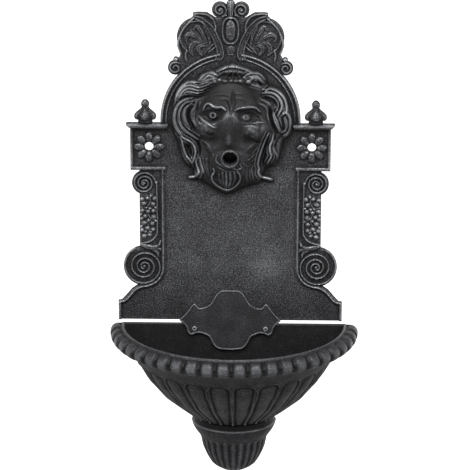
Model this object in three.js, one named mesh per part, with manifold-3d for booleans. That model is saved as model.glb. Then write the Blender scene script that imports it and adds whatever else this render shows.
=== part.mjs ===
// Cast-iron wall fountain: back plate with a lion mask, joining plate, half-round basin and corbel cup.
// Millimetres. +X right seen from the front, +Y into the wall, +Z up.
// The origin lies on the wall face of the back plate, on its centre line.
import * as THREE from 'three';
import { mergeVertices } from 'three/addons/utils/BufferGeometryUtils.js';
import Module from 'manifold-3d';

const wasm = await Module();
wasm.setup();

// Back plate: h below is always the height above the plate's lower edge
const originHeight = 150;
const plateThickness = 6;
const baseHalfWidth = 184;
const baseBlockHeight = 32;
const baseBlockWidth = 8;
const shaftHalfWidth = 148;
const mouldingOffset = 109.5;
const mouldingWidth = 6;
const mouldingRise = 3.5;

// Scrolls on the two side strips
const largeScrollHeight = 93;
const largeScrollOffset = 140.5;
const largeScrollRadius = 34;
const largeScrollTurns = 3.4;
const smallScrollHeight = 234;
const smallScrollOffset = 140;
const smallScrollRadius = 20;
const smallScrollTurns = 2.6;
const scrollRidgeWidth = 4;
const scrollRidgeRise = 3.5;

// Berry strip between the scrolls
const berryStripInset = 15;
const berryRows = 6;
const berryRise = 4.5;

// Corner blocks with the rosettes, their caps and the finials
const blockHalfWidth = 162;
const blockFoot = 255;
const blockHeight = 71;
const blockRise = 2;
const blockFrameWidth = 4.5;
const blockFrameRise = 2.5;
const capHeight = 8;
const capOverhang = 7;
const capRise = 11;
const fixingOffset = 131.5;
const fixingHeight = 295;
const fixingHoleRadius = 7;
const seatRadius = 10.5;
const petalCount = 8;
const petalReach = 24;
const petalWidth = 11.5;
const petalRise = 5;
const finialOffset = 137.5;
const finialHeight = 36;
const finialRadius = 18;

// Arch over the mask
const archSpring = 339;
const archRadius = 113;
const archBandWidth = 5;
const archBandGap = 3;
const archBandRise = 4.5;

// Crest, with heights measured from the top of the arch
const shellOffset = 54;
const shellRise = 24;
const shellRadius = 32;
const shellLobes = 5;
const crestBandRise = 5;
const cabochonRise = 36;
const cabochonHalfWidth = 13.5;
const cabochonHalfHeight = 22;
const bossRise = 4;
const bossRadius = 8;
const topScrollOffset = 17;
const topScrollRise = 69;
const topScrollRadius = 13;
const budRise = 85;
const budHalfWidth = 7;
const earScrollAngle = 45;
const earScrollRadius = 12;

// Lion mask: its carving is given as shares of its half width
const maskHalfWidth = 100;
const maskHeight = 330;
const maskDepth = 44;
const hollowDepth = 40;
const mouthRadius = 11.5;
const mouthRimWidth = 3.5;
const mouthDrop = 0.45;
const mouthFloor = 14;
const mouthWeb = 4;
const feedRadius = 4.5;
const feedRise = 6.5;

// Basin
const seamGap = 6.5;
const basinShift = 6.5;
const basinRadius = 204;
const rimWidth = 24;
const basinWall = 6;
const basinHeight = 164;
const rimHeight = 29;
const rimLobes = 24;
const rimLobeDepth = 3.2;
const tongueCount = 10;
const tongueDepth = 1.6;
const tongueSwell = 1.4;

// Corbel cup under the basin
const cupRadius = 69;
const cupHeight = 97;
const cupWall = 6;
const cupFlutes = 14;
const cupFluteDepth = 2;
const cupOverlap = 4;
const cupLedge = 9;

// Joining plate and its two screws
const coverThickness = 4;
const coverHalfWidth = 82;
const coverReachUp = 53;
const coverReachDown = 51;
const screwOffset = 58.5;
const screwDrop = 12.5;
const screwHeadRadius = 4.25;
const screwHeadHeight = 5;
const screwSocketRadius = 2.3;
const screwShankRadius = 2.5;

// Clearances
const seat = 0.3;
const screwPlay = 0.4;
const sink = 0.8;
const smallestStep = 0.05;

const castIron = new THREE.MeshStandardMaterial({ color: 0x34353a, roughness: 0.55, metalness: 0.85 });
const basinIron = new THREE.MeshStandardMaterial({ color: 0x2b2c30, roughness: 0.6, metalness: 0.85 });
const screwSteel = new THREE.MeshStandardMaterial({ color: 0xb9bbbd, roughness: 0.35, metalness: 1 });

const archTop = archSpring + archRadius;
const plateFace = plateThickness;
const degree = Math.PI / 180;

// A point at x, at height h above the plate's lower edge and standing out from the wall
function at(x, h, out) {
  return new THREE.Vector3(x, -out, h - originHeight);
}

function arc(x, h, radius, from, to, steps) {
  const points = [];
  for (let i = 0; i <= steps; i++) {
    const angle = (from + (to - from) * i / steps) * degree;
    points.push([x + radius * Math.cos(angle), h + radius * Math.sin(angle)]);
  }
  return points;
}

function oval(x, h, halfWidth, halfHeight, steps) {
  return arc(0, 0, 1, 0, 360 - 360 / steps, steps - 1).map(([c, s]) => [x + halfWidth * c, h + halfHeight * s]);
}

function mirrored(points, side) {
  return points.map(([x, h, ...rest]) => [side * x, h, ...rest]);
}

// A smooth run of points through a few given ones
function smooth(points, steps) {
  const curve = new THREE.SplineCurve(points.map(([x, h]) => new THREE.Vector2(x, h)));
  return curve.getPoints(steps).map((p) => [p.x, p.y]);
}

// Closed triangle mesh to solid, with its faces turned outwards
function solid(positions, triangles) {
  const geometry = new THREE.BufferGeometry();
  geometry.setAttribute('position', new THREE.Float32BufferAttribute(positions, 3));
  geometry.setIndex(triangles);
  const welded = mergeVertices(geometry, 1e-4);
  const p = welded.attributes.position;
  const index = welded.index.array;
  const kept = [];
  let volume = 0;
  const [a, b, c] = [new THREE.Vector3(), new THREE.Vector3(), new THREE.Vector3()];
  for (let i = 0; i < index.length; i += 3) {
    const [i0, i1, i2] = [index[i], index[i + 1], index[i + 2]];
    if (i0 === i1 || i1 === i2 || i2 === i0) continue;
    kept.push(i0, i1, i2);
    volume += a.fromBufferAttribute(p, i0).dot(b.fromBufferAttribute(p, i1).cross(c.fromBufferAttribute(p, i2)));
  }
  if (volume < 0) kept.reverse();
  return new wasm.Manifold(new wasm.Mesh({
    numProp: 3,
    vertProperties: new Float32Array(p.array),
    triVerts: new Uint32Array(kept),
  }));
}

function solidOf(geometry) {
  const bare = geometry.index ? geometry.toNonIndexed() : geometry;
  const position = bare.attributes.position;
  return solid(Array.from(position.array), Array.from({ length: position.count }, (_, i) => i));
}

// Rings of points joined into a skin, closed at both ends by a fan or joined end to end
function loft(rings, endless = false) {
  const sides = rings[0].length;
  const positions = rings.flat().flatMap((p) => p.toArray());
  const triangles = [];
  const spans = endless ? rings.length : rings.length - 1;
  for (let i = 0; i < spans; i++) {
    const next = (i + 1) % rings.length;
    for (let k = 0; k < sides; k++) {
      const [p, q] = [i * sides + k, i * sides + (k + 1) % sides];
      const [r, s] = [next * sides + k, next * sides + (k + 1) % sides];
      triangles.push(p, q, r, q, s, r);
    }
  }
  if (!endless) {
    for (const [ring, turned] of [[0, true], [rings.length - 1, false]]) {
      const centre = rings[ring].reduce((sum, p) => sum.add(p), new THREE.Vector3()).divideScalar(sides);
      const hub = positions.length / 3;
      positions.push(...centre.toArray());
      for (let k = 0; k < sides; k++) {
        const [p, q] = [ring * sides + k, ring * sides + (k + 1) % sides];
        triangles.push(...(turned ? [hub, q, p] : [hub, p, q]));
      }
    }
  }
  return solid(positions, triangles);
}

// A flat slab with a drawn outline, from one distance off the wall to another
function slab(points, from, to) {
  const shape = new THREE.Shape(points.map(([x, h]) => new THREE.Vector2(x, h)));
  const geometry = new THREE.ExtrudeGeometry(shape, { depth: to - from, bevelEnabled: false });
  geometry.rotateX(Math.PI / 2);
  geometry.translate(0, -from, -originHeight);
  return solidOf(geometry);
}

// Everything that stands out from the wall by more than a distance
function inFront(distance) {
  const reach = 2 * (archTop + budRise);
  return slab([[-reach, -reach], [reach, -reach], [reach, reach], [-reach, reach]], distance, reach);
}

function disc(x, h, radius, from, to, steps = 24) {
  return slab(oval(x, h, radius, radius, steps), from, to);
}

// A raised band along a line, with a flat crown that is a share of its width
function ridge(path, width, rise, base, closed = false, crown = 0.4) {
  const count = path.length;
  const rings = path.map(([x, h], i) => {
    const before = path[closed ? (i + count - 1) % count : Math.max(i - 1, 0)];
    const after = path[closed ? (i + 1) % count : Math.min(i + 1, count - 1)];
    const one = new THREE.Vector2(x - before[0], h - before[1]).normalize();
    const two = new THREE.Vector2(after[0] - x, after[1] - h).normalize();
    const along = one.clone().add(two).normalize();
    const widen = Math.min(1 / Math.max(along.dot(two.lengthSq() > 0 ? two : one), 0.5), 1.6);
    const across = [-along.y * widen * width / 2, along.x * widen * width / 2];
    const point = (share, out) => at(x + across[0] * share, h + across[1] * share, out);
    const ring = [point(-1, base - sink), point(-crown, base + rise)];
    if (crown > 0) ring.push(point(crown, base + rise));
    ring.push(point(1, base - sink));
    return ring;
  });
  return loft(rings, closed);
}

// A tapering lock or leaf along a line, lying on a surface given by its height off the wall
function lock(points, widths, thickness, surface, steps = 4) {
  const line = new THREE.CatmullRomCurve3(points.map(([x, h, lift = 0]) => at(x, h, surface(x, h) + lift)));
  const out = new THREE.Vector3(0, -1, 0);
  const rings = [];
  for (let i = 0; i <= steps; i++) {
    const t = i / steps;
    const centre = line.getPointAt(t);
    const along = line.getTangentAt(t);
    const side = along.clone().cross(out).normalize();
    const up = side.clone().cross(along).normalize();
    const swell = t < 0.5 ? widths[0] + (widths[1] - widths[0]) * Math.sin(Math.PI * t)
      : widths[2] + (widths[1] - widths[2]) * Math.sin(Math.PI * t);
    const half = Math.max(swell, 0.6) / 2;
    const high = thickness * Math.min(1, 2 * half / widths[1] + 0.25);
    const root = centre.clone().addScaledVector(up, -sink * 2);
    rings.push([
      root.clone().addScaledVector(side, half),
      centre.clone().addScaledVector(up, high),
      root.clone().addScaledVector(side, -half),
    ]);
  }
  return loft(rings);
}

// An egg-shaped lump, its centre standing out from the wall
function lump(x, h, out, halfWidth, halfHeight, halfDepth, around = 6, rows = 4) {
  const geometry = new THREE.SphereGeometry(1, around, rows);
  geometry.rotateX(Math.PI / 2);
  geometry.scale(halfWidth, halfDepth, halfHeight);
  const centre = at(x, h, out);
  geometry.translate(centre.x, centre.y, centre.z);
  return solidOf(geometry);
}

function joined(solids) {
  return wasm.Manifold.union(solids);
}

function node(name, shape, material) {
  const { vertProperties, triVerts } = shape.simplify(smallestStep).getMesh();
  const geometry = new THREE.BufferGeometry();
  geometry.setAttribute('position', new THREE.BufferAttribute(vertProperties, 3));
  geometry.setIndex(new THREE.BufferAttribute(triVerts, 1));
  geometry.computeVertexNormals();
  const mesh = new THREE.Mesh(geometry, material);
  mesh.name = name;
  return mesh;
}

// A scroll's winding line, from its outer end inwards; turn is +1 for one winding clockwise on the right
function spiral(x, h, outer, inner, turns, start, turn, stepsPerTurn) {
  const steps = Math.round(turns * stepsPerTurn);
  const points = [];
  for (let i = 0; i <= steps; i++) {
    const t = i / steps;
    const angle = (start - turn * 360 * turns * t) * degree;
    const radius = outer + (inner - outer) * t;
    points.push([x + radius * Math.cos(angle), h + radius * Math.sin(angle)]);
  }
  return points;
}

// The S-shaped line from the inner moulding round the large scroll to the base block, for the right side
function mouldingLine() {
  const hug = largeScrollRadius - mouldingWidth / 2;
  const turn = arc(mouldingOffset + hug, largeScrollHeight, hug, 180, 250, 4);
  const end = turn[turn.length - 1];
  const blockInner = baseHalfWidth - baseBlockWidth;
  const foot = [blockInner, baseBlockHeight - 1];
  const middle = [(end[0] + foot[0]) / 2, (end[1] + foot[1]) / 2];
  const fall = smooth([end, [middle[0] - 9, middle[1] + 10], [middle[0] + 5, middle[1] + 2], foot], 6).slice(1);
  return [[mouldingOffset, blockFoot + 2], ...turn, ...fall];
}

// Edge of the plate from its lower corner up to the crest, for the right side
function plateEdge() {
  const blockTop = blockFoot + blockHeight;
  const points = [[baseHalfWidth, 0], [baseHalfWidth, baseBlockHeight]];
  const line = mouldingLine().reverse();
  for (const [x, h] of line.slice(1)) {
    const rise = h + mouldingWidth / 2;
    if (Math.hypot(x - largeScrollOffset, rise - largeScrollHeight) < largeScrollRadius + 0.5) break;
    points.push([x, rise]);
  }
  const largeEnd = Math.acos((shaftHalfWidth - largeScrollOffset) / largeScrollRadius) / degree;
  points.push(...arc(largeScrollOffset, largeScrollHeight, largeScrollRadius, -72, largeEnd, 9));
  const smallStart = Math.acos((shaftHalfWidth - smallScrollOffset) / smallScrollRadius) / degree;
  const curl = arc(smallScrollOffset, smallScrollHeight, smallScrollRadius, -smallStart, 55, 6);
  points.push(...curl, [curl[curl.length - 1][0], blockFoot]);
  points.push([blockHalfWidth, blockFoot], [blockHalfWidth, blockTop]);
  points.push([blockHalfWidth + capOverhang, blockTop + capHeight]);
  const springAngle = Math.asin((blockTop + capHeight - archSpring) / archRadius) / degree;
  const [earX, earH] = earCentre();
  const reach = Math.hypot(earX, earH - archSpring);
  const between = (near, far) => Math.acos((reach ** 2 + near ** 2 - far ** 2) / (2 * reach * near)) / degree;
  points.push(...arc(0, archSpring, archRadius, springAngle, earScrollAngle - between(archRadius, earScrollRadius), 8));
  const earStart = earScrollAngle - 180 + between(earScrollRadius, archRadius);
  points.push(...arc(earX, earH, earScrollRadius, earStart, 65, 7));
  points.push(...arc(earX - 1, earH + earScrollRadius + 2.5, 4, -10, 170, 3));
  points.push(...arc(shellOffset, archTop + shellRise, shellRadius, -45, 72, 7));
  points.push(...leafEdge());
  points.push(...arc(topScrollOffset, archTop + topScrollRise, topScrollRadius, -20, 120, 6));
  points.push([budHalfWidth, archTop + budRise - 2]);
  return points;
}

function plateBlank() {
  const right = plateEdge();
  const left = mirrored(right, -1).reverse();
  return slab([...right, [0, archTop + budRise], ...left], 0, plateThickness);
}

// Centre of the small scroll that sits on the shoulder of the arch
function earCentre() {
  const reach = archRadius + earScrollRadius - 1;
  return [reach * Math.cos(earScrollAngle * degree), archSpring + reach * Math.sin(earScrollAngle * degree)];
}

// Upper edge of the plain leaf that leans over the shell and runs to the top scroll
function leafEdge() {
  const top = archTop + shellRise + shellRadius;
  const scrollSide = topScrollOffset + topScrollRadius;
  return [[shellOffset + 7, top + 4], [shellOffset - 4, top + 9], [(shellOffset + scrollSide) / 2, top + 9]];
}

function sideStrip(side) {
  const base = plateFace;
  const parts = [];
  parts.push(ridge(mirrored(mouldingLine(), side), mouldingWidth, mouldingRise, base, false, 0));
  const blockInner = baseHalfWidth - baseBlockWidth / 2;
  parts.push(ridge(mirrored([[blockInner, 2], [blockInner, baseBlockHeight - 1]], side), baseBlockWidth - 1, 3, base));
  const start = side > 0 ? 70 : 110;
  parts.push(ridge(spiral(side * largeScrollOffset, largeScrollHeight, largeScrollRadius - scrollRidgeWidth / 2, 4,
    largeScrollTurns, start, side, 8), scrollRidgeWidth, scrollRidgeRise, base, false, 0));
  parts.push(ridge(spiral(side * smallScrollOffset, smallScrollHeight, smallScrollRadius - scrollRidgeWidth / 2, 3,
    smallScrollTurns, side > 0 ? 190 : -10, side, 7), scrollRidgeWidth, scrollRidgeRise, base, false, 0));
  parts.push(lump(side * largeScrollOffset, largeScrollHeight, base, 5, 5, scrollRidgeRise + 1, 6, 2));
  parts.push(lump(side * smallScrollOffset, smallScrollHeight, base, 4, 4, scrollRidgeRise + 1, 6, 2));
  const stripInner = shaftHalfWidth - 2 * berryStripInset;
  const stripFoot = largeScrollHeight + largeScrollRadius + 8;
  const stripTop = smallScrollHeight - smallScrollRadius;
  parts.push(ridge(mirrored([[stripInner, smallScrollHeight], ...arc(shaftHalfWidth - 3, stripFoot + 22,
    2 * berryStripInset - 3, 180, 262, 4)], side), 3, scrollRidgeRise, base, false, 0));
  const rowStep = (stripTop - stripFoot) / berryRows;
  for (let row = 0; row < berryRows; row++) {
    const h = stripFoot + (row + 0.6) * rowStep;
    const swing = row % 2 ? 1 : -1;
    for (const [shift, rise] of [[-6, 1.5], [6, -1.5]]) {
      const x = shaftHalfWidth - berryStripInset + shift;
      parts.push(lump(side * x, h + rise * swing, base, 5.5, 5, berryRise, 4, 2));
    }
  }
  const tuftTop = largeScrollHeight + largeScrollRadius;
  for (const rise of [5, -8]) {
    parts.push(lock(mirrored([[shaftHalfWidth - 5, tuftTop + 2], [stripInner + 10, tuftTop + rise / 2],
      [stripInner - 1, tuftTop + rise]], side), [3, 8, 1], 4, () => base, 2));
  }
  return parts;
}

function cornerBlock(side) {
  const parts = [];
  const top = blockFoot + blockHeight;
  const inner = mouldingOffset - mouldingWidth / 2;
  const face = plateFace + blockRise;
  const box = (x0, h0, x1, h1) => mirrored([[x0, h0], [x1, h0], [x1, h1], [x0, h1]], side);
  parts.push(slab(box(inner, blockFoot + 2, blockHalfWidth, top), 0, face));
  parts.push(slab(box(blockHalfWidth - blockFrameWidth, blockFoot, blockHalfWidth, top), 0, face + blockFrameRise));
  parts.push(slab(box(inner, blockFoot, blockHalfWidth, blockFoot + 6), 0, face + blockFrameRise + 2));
  parts.push(slab(mirrored([[inner - 4, top], [blockHalfWidth, top], [blockHalfWidth + capOverhang, top + capHeight],
    [inner - 8, top + capHeight]], side), 0, plateFace + capRise));
  for (let i = 0; i < petalCount; i++) {
    parts.push(petal(side * fixingOffset, fixingHeight, i * 360 / petalCount * degree, face));
  }
  parts.push(disc(side * fixingOffset, fixingHeight, seatRadius, 0, face + 2.5, 12));
  return parts;
}

// One rounded petal lying outwards from the fixing hole
function petal(x, h, angle, face) {
  const length = (petalReach - fixingHoleRadius) / 2;
  const geometry = new THREE.SphereGeometry(1, 4, 2);
  geometry.rotateX(Math.PI / 2);
  geometry.scale(length, petalRise, petalWidth / 2);
  geometry.rotateY(-angle);
  const centre = at(x + (fixingHoleRadius + length) * Math.cos(angle), h + (fixingHoleRadius + length) * Math.sin(angle),
    face);
  geometry.translate(centre.x, centre.y, centre.z);
  return solidOf(geometry);
}

function finial(side) {
  const foot = blockFoot + blockHeight + capHeight - 1;
  const line = [[0, 0], [0.66, 0.02], [1, 0.34], [0.72, 0.55], [0.32, 0.7], [0.38, 0.86], [0, 1]];
  const profile = line.map(([r, z]) => new THREE.Vector2(r * finialRadius, z * finialHeight));
  const geometry = new THREE.LatheGeometry(profile, 8);
  geometry.rotateX(Math.PI / 2);
  geometry.scale(1, 0.6, 1);
  geometry.translate(side * finialOffset, -plateThickness * 0.75, foot - originHeight);
  return solidOf(geometry);
}

function archBands() {
  const low = blockFoot + blockHeight + capHeight;
  const bands = [];
  for (const radius of [archRadius - archBandWidth / 2, archRadius - archBandWidth * 1.5 - archBandGap]) {
    const start = Math.asin((low - archSpring) / radius) / degree;
    bands.push(ridge(arc(0, archSpring, radius, start, 180 - start, 14), archBandWidth, archBandRise, plateFace,
      false, 0));
  }
  return bands;
}

function crest(side) {
  const base = plateFace;
  const surface = () => base;
  const centreH = archTop + shellRise;
  const parts = [];
  const rim = arc(side * shellOffset, centreH, shellRadius - 2.5, side > 0 ? -60 : 240, side > 0 ? 130 : 50, 7);
  parts.push(ridge(rim, 5, crestBandRise, base, false, 0));
  const band = smooth([[shellOffset - 4, centreH + shellRadius + 3], [cabochonHalfWidth + 13, centreH + 17],
    [cabochonHalfWidth + 1, centreH - 6], [cabochonHalfWidth, archTop - 2], [cabochonHalfWidth + 9, archTop - 12]], 6);
  parts.push(ridge(mirrored(band, side), 6, crestBandRise + 1, base, false, 0));
  for (let i = 0; i < shellLobes; i++) {
    const angle = (150 - 235 * i / (shellLobes - 1)) * degree;
    const reach = shellRadius - 7;
    const root = [shellOffset - 8, centreH - 10];
    const bend = [root[0] + 0.55 * reach * Math.cos(angle + 0.35), root[1] + 0.55 * reach * Math.sin(angle + 0.35) + 5];
    const tip = [shellOffset + reach * Math.cos(angle), centreH + reach * Math.sin(angle)];
    parts.push(lock(mirrored([root, bend, tip], side), [5, 12, 4], 7, surface, 2));
  }
  const leaf = [[shellOffset + 8, centreH + shellRadius - 1], [shellOffset - 12, centreH + shellRadius + 7],
    [topScrollOffset + 12, centreH + shellRadius - 2], [topScrollOffset + 6, centreH + 12]];
  parts.push(lock(mirrored(leaf, side), [3, 10, 3], 4.5, surface, 3));
  const scrollH = archTop + topScrollRise;
  parts.push(ridge(spiral(side * topScrollOffset, scrollH, topScrollRadius - 2, 3, 1.4, side > 0 ? 200 : -20, side, 7),
    4, crestBandRise + 1, base, false, 0));
  parts.push(lump(side * topScrollOffset, scrollH, base, 4.5, 4.5, crestBandRise + 2, 6, 2));
  const [earX, earH] = earCentre();
  parts.push(ridge(spiral(side * earX, earH, earScrollRadius - 2, 4, 1.1, side > 0 ? 150 : 30, side, 7),
    4, crestBandRise, base, false, 0));
  parts.push(lump(side * earX, earH, base, 5, 5, crestBandRise + 1, 6, 2));
  parts.push(lump(side * (earX - 1), earH + earScrollRadius + 2.5, base, 4.2, 4.2, crestBandRise, 5, 2));
  return parts;
}

function crestCentre() {
  const base = plateFace;
  const h = archTop + cabochonRise;
  return [
    ridge(oval(0, h, cabochonHalfWidth - 2, cabochonHalfHeight - 2, 14), 4, crestBandRise + 2, base, true),
    lump(0, h, base, cabochonHalfWidth - 7, cabochonHalfHeight - 7, crestBandRise + 3, 8, 4),
    lump(0, archTop + bossRise, base, bossRadius, bossRadius, crestBandRise + 2, 8, 4),
    lock([[0, archTop + cabochonRise + cabochonHalfHeight], [0, archTop + topScrollRise], [0, archTop + budRise - 2]],
      [6, 13, 9], 6, () => base, 3),
  ];
}

// Rounded body of the mask, as a height off the wall
function maskSurface(x, h) {
  const u = x / (maskHalfWidth * 0.9);
  const v = (h - maskHeight) / (maskHalfWidth * 1.04);
  const inside = Math.max(1 - u * u - v * v, 0);
  return plateFace + maskDepth * Math.pow(inside, 0.6);
}

function maskBody() {
  const rings = [];
  for (const share of [1, 0.95, 0.82, 0.6, 0.3]) {
    rings.push(oval(0, maskHeight, maskHalfWidth * 0.9 * share, maskHalfWidth * 1.04 * share, 18)
      .map(([x, h]) => at(x, h, share === 1 ? plateFace - sink : maskSurface(x, h))));
  }
  return loft(rings);
}

// Mane and beard: each lock is a line of points, then its widths and its thickness
const maneLocks = [
  { line: [[-0.22, 0.84], [-0.42, 0.86], [-0.66, 0.78], [-0.88, 0.50]], widths: [4, 11, 3], thickness: 7 },
  { line: [[-0.32, 0.66], [-0.60, 0.63], [-0.80, 0.50], [-0.90, 0.34]], widths: [4, 11, 3], thickness: 8 },
  { line: [[-0.70, 0.44], [-0.91, 0.16], [-0.82, -0.12], [-0.66, -0.22]], widths: [5, 14, 6], thickness: 9 },
  { line: [[-0.62, 0.40], [-0.75, 0.12], [-0.66, -0.10], [-0.54, -0.20]], widths: [4, 12, 4], thickness: 8 },
  { line: [[-0.74, -0.18], [-0.77, -0.38], [-0.62, -0.58]], widths: [5, 10, 4], thickness: 8 },
  { line: [[-0.66, -0.20], [-0.55, -0.38], [-0.60, -0.58]], widths: [5, 9, 4], thickness: 8 },
  { line: [[-0.50, -0.52], [-0.50, -0.74], [-0.64, -0.83]], widths: [5, 11, 4], thickness: 8 },
  { line: [[0.18, 0.86], [0.38, 0.92], [0.57, 0.78]], widths: [4, 10, 4], thickness: 8 },
  { line: [[0.54, 0.67], [0.80, 0.58], [0.93, 0.32]], widths: [5, 12, 4], thickness: 9 },
  { line: [[0.44, 0.54], [0.68, 0.50], [0.80, 0.26]], widths: [5, 12, 4], thickness: 8 },
  { line: [[0.60, 0.32], [0.70, 0.12], [0.78, -0.08]], widths: [5, 12, 4], thickness: 9 },
  { line: [[0.80, 0.26], [0.96, 0.08], [0.84, -0.10]], widths: [5, 12, 5], thickness: 8 },
  { line: [[0.70, -0.10], [0.65, -0.34], [0.70, -0.56]], widths: [5, 12, 4], thickness: 8 },
  { line: [[0.58, -0.20], [0.48, -0.56], [0.49, -0.82], [0.66, -0.86]], widths: [5, 10, 5], thickness: 8 },
  { line: [[0.36, -0.56], [0.36, -0.72], [0.30, -0.92]], widths: [5, 11, 3], thickness: 8 },
  { line: [[-0.24, 0.94], [0.04, 1.03], [0.32, 0.94]], widths: [5, 13, 5], thickness: 10 },
];

// Shell-shaped tuft under the mouth
const chinLocks = [
  { line: [[-0.20, -0.72], [-0.22, -0.88], [-0.12, -1.00]], widths: [6, 11, 4], thickness: 8 },
  { line: [[-0.03, -0.72], [-0.03, -0.88], [-0.04, -1.04]], widths: [6, 11, 4], thickness: 9 },
  { line: [[0.14, -0.72], [0.14, -0.88], [0.04, -1.01]], widths: [6, 11, 4], thickness: 8 },
];

function maskPoint([x, h]) {
  return [x * maskHalfWidth, maskHeight + h * maskHalfWidth];
}

function lionMask() {
  const share = maskHalfWidth / 100;
  const parts = [maskBody()];
  for (const { line, widths, thickness } of [...maneLocks, ...chinLocks]) {
    parts.push(lock(line.map(maskPoint), widths.map((width) => width * share), thickness * share, maskSurface,
      line.length));
  }
  const bump = (x, h, lift, halfWidth, halfHeight, halfDepth) => {
    const [px, ph] = maskPoint([x, h]);
    parts.push(lump(px, ph, maskSurface(px, ph) + lift * share, halfWidth * share, halfHeight * share,
      halfDepth * share));
  };
  for (const side of [-1, 1]) {
    const faceLock = (line, widths, thickness) => parts.push(lock(mirrored(line, side).map(maskPoint),
      widths.map((width) => width * share), thickness * share, maskSurface, 3));
    faceLock([[0.07, 0.34], [0.28, 0.40], [0.50, 0.28]], [7, 10, 5], 8);
    faceLock([[0.10, -0.12], [0.28, -0.28], [0.22, -0.60]], [6, 12, 6], 7);
    bump(0.275, 0.20, 0, 7, 6, 7);
    bump(0.45, 0.04, -4, 14, 17, 10);
    bump(0.16, -0.34, -6, 15, 15, 14);
  }
  parts.push(lock([[0, 0.44], [0, 0.12], [0, -0.20]].map(maskPoint), [12, 22, 26].map((w) => w * share),
    13 * share, maskSurface));
  bump(0, -0.14, 5, 15, 9, 9);
  bump(0, -0.74, -5, 20, 18, 12);
  return joined(parts);
}

// Round spout in the mouth: its rim, its blind socket and the feed hole in the socket's floor
function mouthTool(radius, from, to, rise = 0, steps = 16) {
  const [x, h] = maskPoint([0, -mouthDrop]);
  return disc(x, h + rise, radius, from, to, steps);
}

function backplate() {
  const parts = [plateBlank(), lionMask(), ...archBands(), ...crestCentre()];
  for (const side of [-1, 1]) {
    parts.push(...sideStrip(side), ...cornerBlock(side), finial(side), ...crest(side));
  }
  const [mouthX, mouthH] = maskPoint([0, -mouthDrop]);
  parts.push(mouthTool(mouthRadius + mouthRimWidth, plateFace - sink, maskSurface(mouthX, mouthH) + 9));
  let plate = joined(parts);
  plate = wasm.Manifold.intersection(plate, inFront(0));
  const hollow = lump(0, maskHeight, 0, maskHalfWidth * 0.78, maskHalfWidth * 0.92, hollowDepth, 14, 8);
  plate = plate.subtract(hollow);
  plate = plate.add(mouthTool(mouthRadius + mouthRimWidth, mouthFloor - mouthWeb, maskDepth));
  plate = plate.subtract(mouthTool(mouthRadius, mouthFloor, maskDepth * 2));
  plate = plate.subtract(mouthTool(feedRadius, 0, mouthFloor + 1, feedRise, 10));
  for (const side of [-1, 1]) {
    plate = plate.subtract(disc(side * fixingOffset, fixingHeight, fixingHoleRadius, -1, maskDepth, 16));
  }
  return plate;
}

// Basin: everything is measured down from its top edge, and its axis lies on the wall face
const basinTop = -seamGap;
const basinMouthRadius = basinRadius - rimWidth;

function ringPoint(radius, h, angle) {
  return at(basinShift + radius * Math.cos(angle), h, radius * Math.sin(angle));
}

// Outer bowl line from under the rim to the foot: radius at a depth, as a share of the way down
const bowlLine = new THREE.SplineCurve([[0.895, 0.0], [0.79, 0.21], [0.715, 0.38], [0.62, 0.55], [0.52, 0.70],
  [0.40, 0.845], [0.285, 0.965], [0.26, 1]].map(([r, s]) => new THREE.Vector2(r, s)));

function bowlPoint(t) {
  const p = bowlLine.getPoint(t);
  return { radius: p.x * basinRadius, h: basinTop - rimHeight - p.y * (basinHeight - rimHeight) };
}

// Half turn of a profile, with the radius varied round it, cut square at the wall
function halfTurn(profile, steps, vary = () => 0) {
  const rings = [];
  for (let i = -1; i <= steps + 1; i++) {
    const angle = Math.PI * i / steps;
    rings.push(profile.map(([radius, h]) => ringPoint(radius + vary(radius, h, angle, i), h, angle)));
  }
  return wasm.Manifold.intersection(loft(rings), inFront(0));
}

function basin() {
  const rimProfile = [[0.12, -0.9], [0.12, -0.03], [0.55, -0.05], [0.9, -0.3], [1, -0.62], [0.85, -0.92],
    [0.4, -1.02]].map(([r, s]) => [basinMouthRadius + r * rimWidth, basinTop + s * rimHeight]);
  const stepsPerLobe = 2;
  const scallop = (radius, h, angle, i) => {
    const valley = ((i % stepsPerLobe) + stepsPerLobe) % stepsPerLobe === 0;
    return valley && radius > basinMouthRadius + rimWidth * 0.5 ? -rimLobeDepth : 0;
  };
  const rim = halfTurn(rimProfile, rimLobes * stepsPerLobe, scallop);
  const bowlSide = [0, 0.19, 0.28, 0.55, 0.8, 1].map((t) => bowlPoint(t)).map((p) => [p.radius, p.h]);
  const lip = basinMouthRadius + rimWidth * 0.2;
  const stepsPerTongue = 4;
  const [roundTop, squareTop, foot] = [bowlPoint(0.19).h, bowlPoint(0.28).h, bowlPoint(0.95).h];
  const tongues = (radius, h, angle, i) => {
    const phase = ((i % stepsPerTongue) + stepsPerTongue) % stepsPerTongue;
    if (radius < 1 || h > roundTop + 1 || h < foot) return 0;
    if (phase === 0) return -tongueDepth;
    return phase === 2 || h <= squareTop + 1 ? tongueSwell : -tongueDepth;
  };
  const body = halfTurn([[0, basinTop], [lip, basinTop], [lip, basinTop - rimHeight], ...bowlSide,
    [0, bowlSide[bowlSide.length - 1][1]]], tongueCount * stepsPerTongue, tongues);
  const inner = bowlSide.slice(2, 5).map(([radius, h]) => [radius - basinWall * 1.25, h + basinWall * 0.4]);
  const floor = inner[inner.length - 1][1] - 4;
  const room = halfTurn([[0, basinTop + 20], [basinMouthRadius, basinTop + 20],
    [basinMouthRadius, basinTop - rimHeight * 0.6], ...inner, [inner[inner.length - 1][0] - 12, floor], [0, floor]], 20);
  let shape = joined([rim, body]).subtract(wasm.Manifold.intersection(room, inFront(basinWall)));
  for (const side of [-1, 1]) {
    shape = shape.subtract(disc(side * screwOffset, -screwDrop, screwShankRadius + screwPlay, -1, maskDepth, 8));
  }
  return shape;
}

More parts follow.
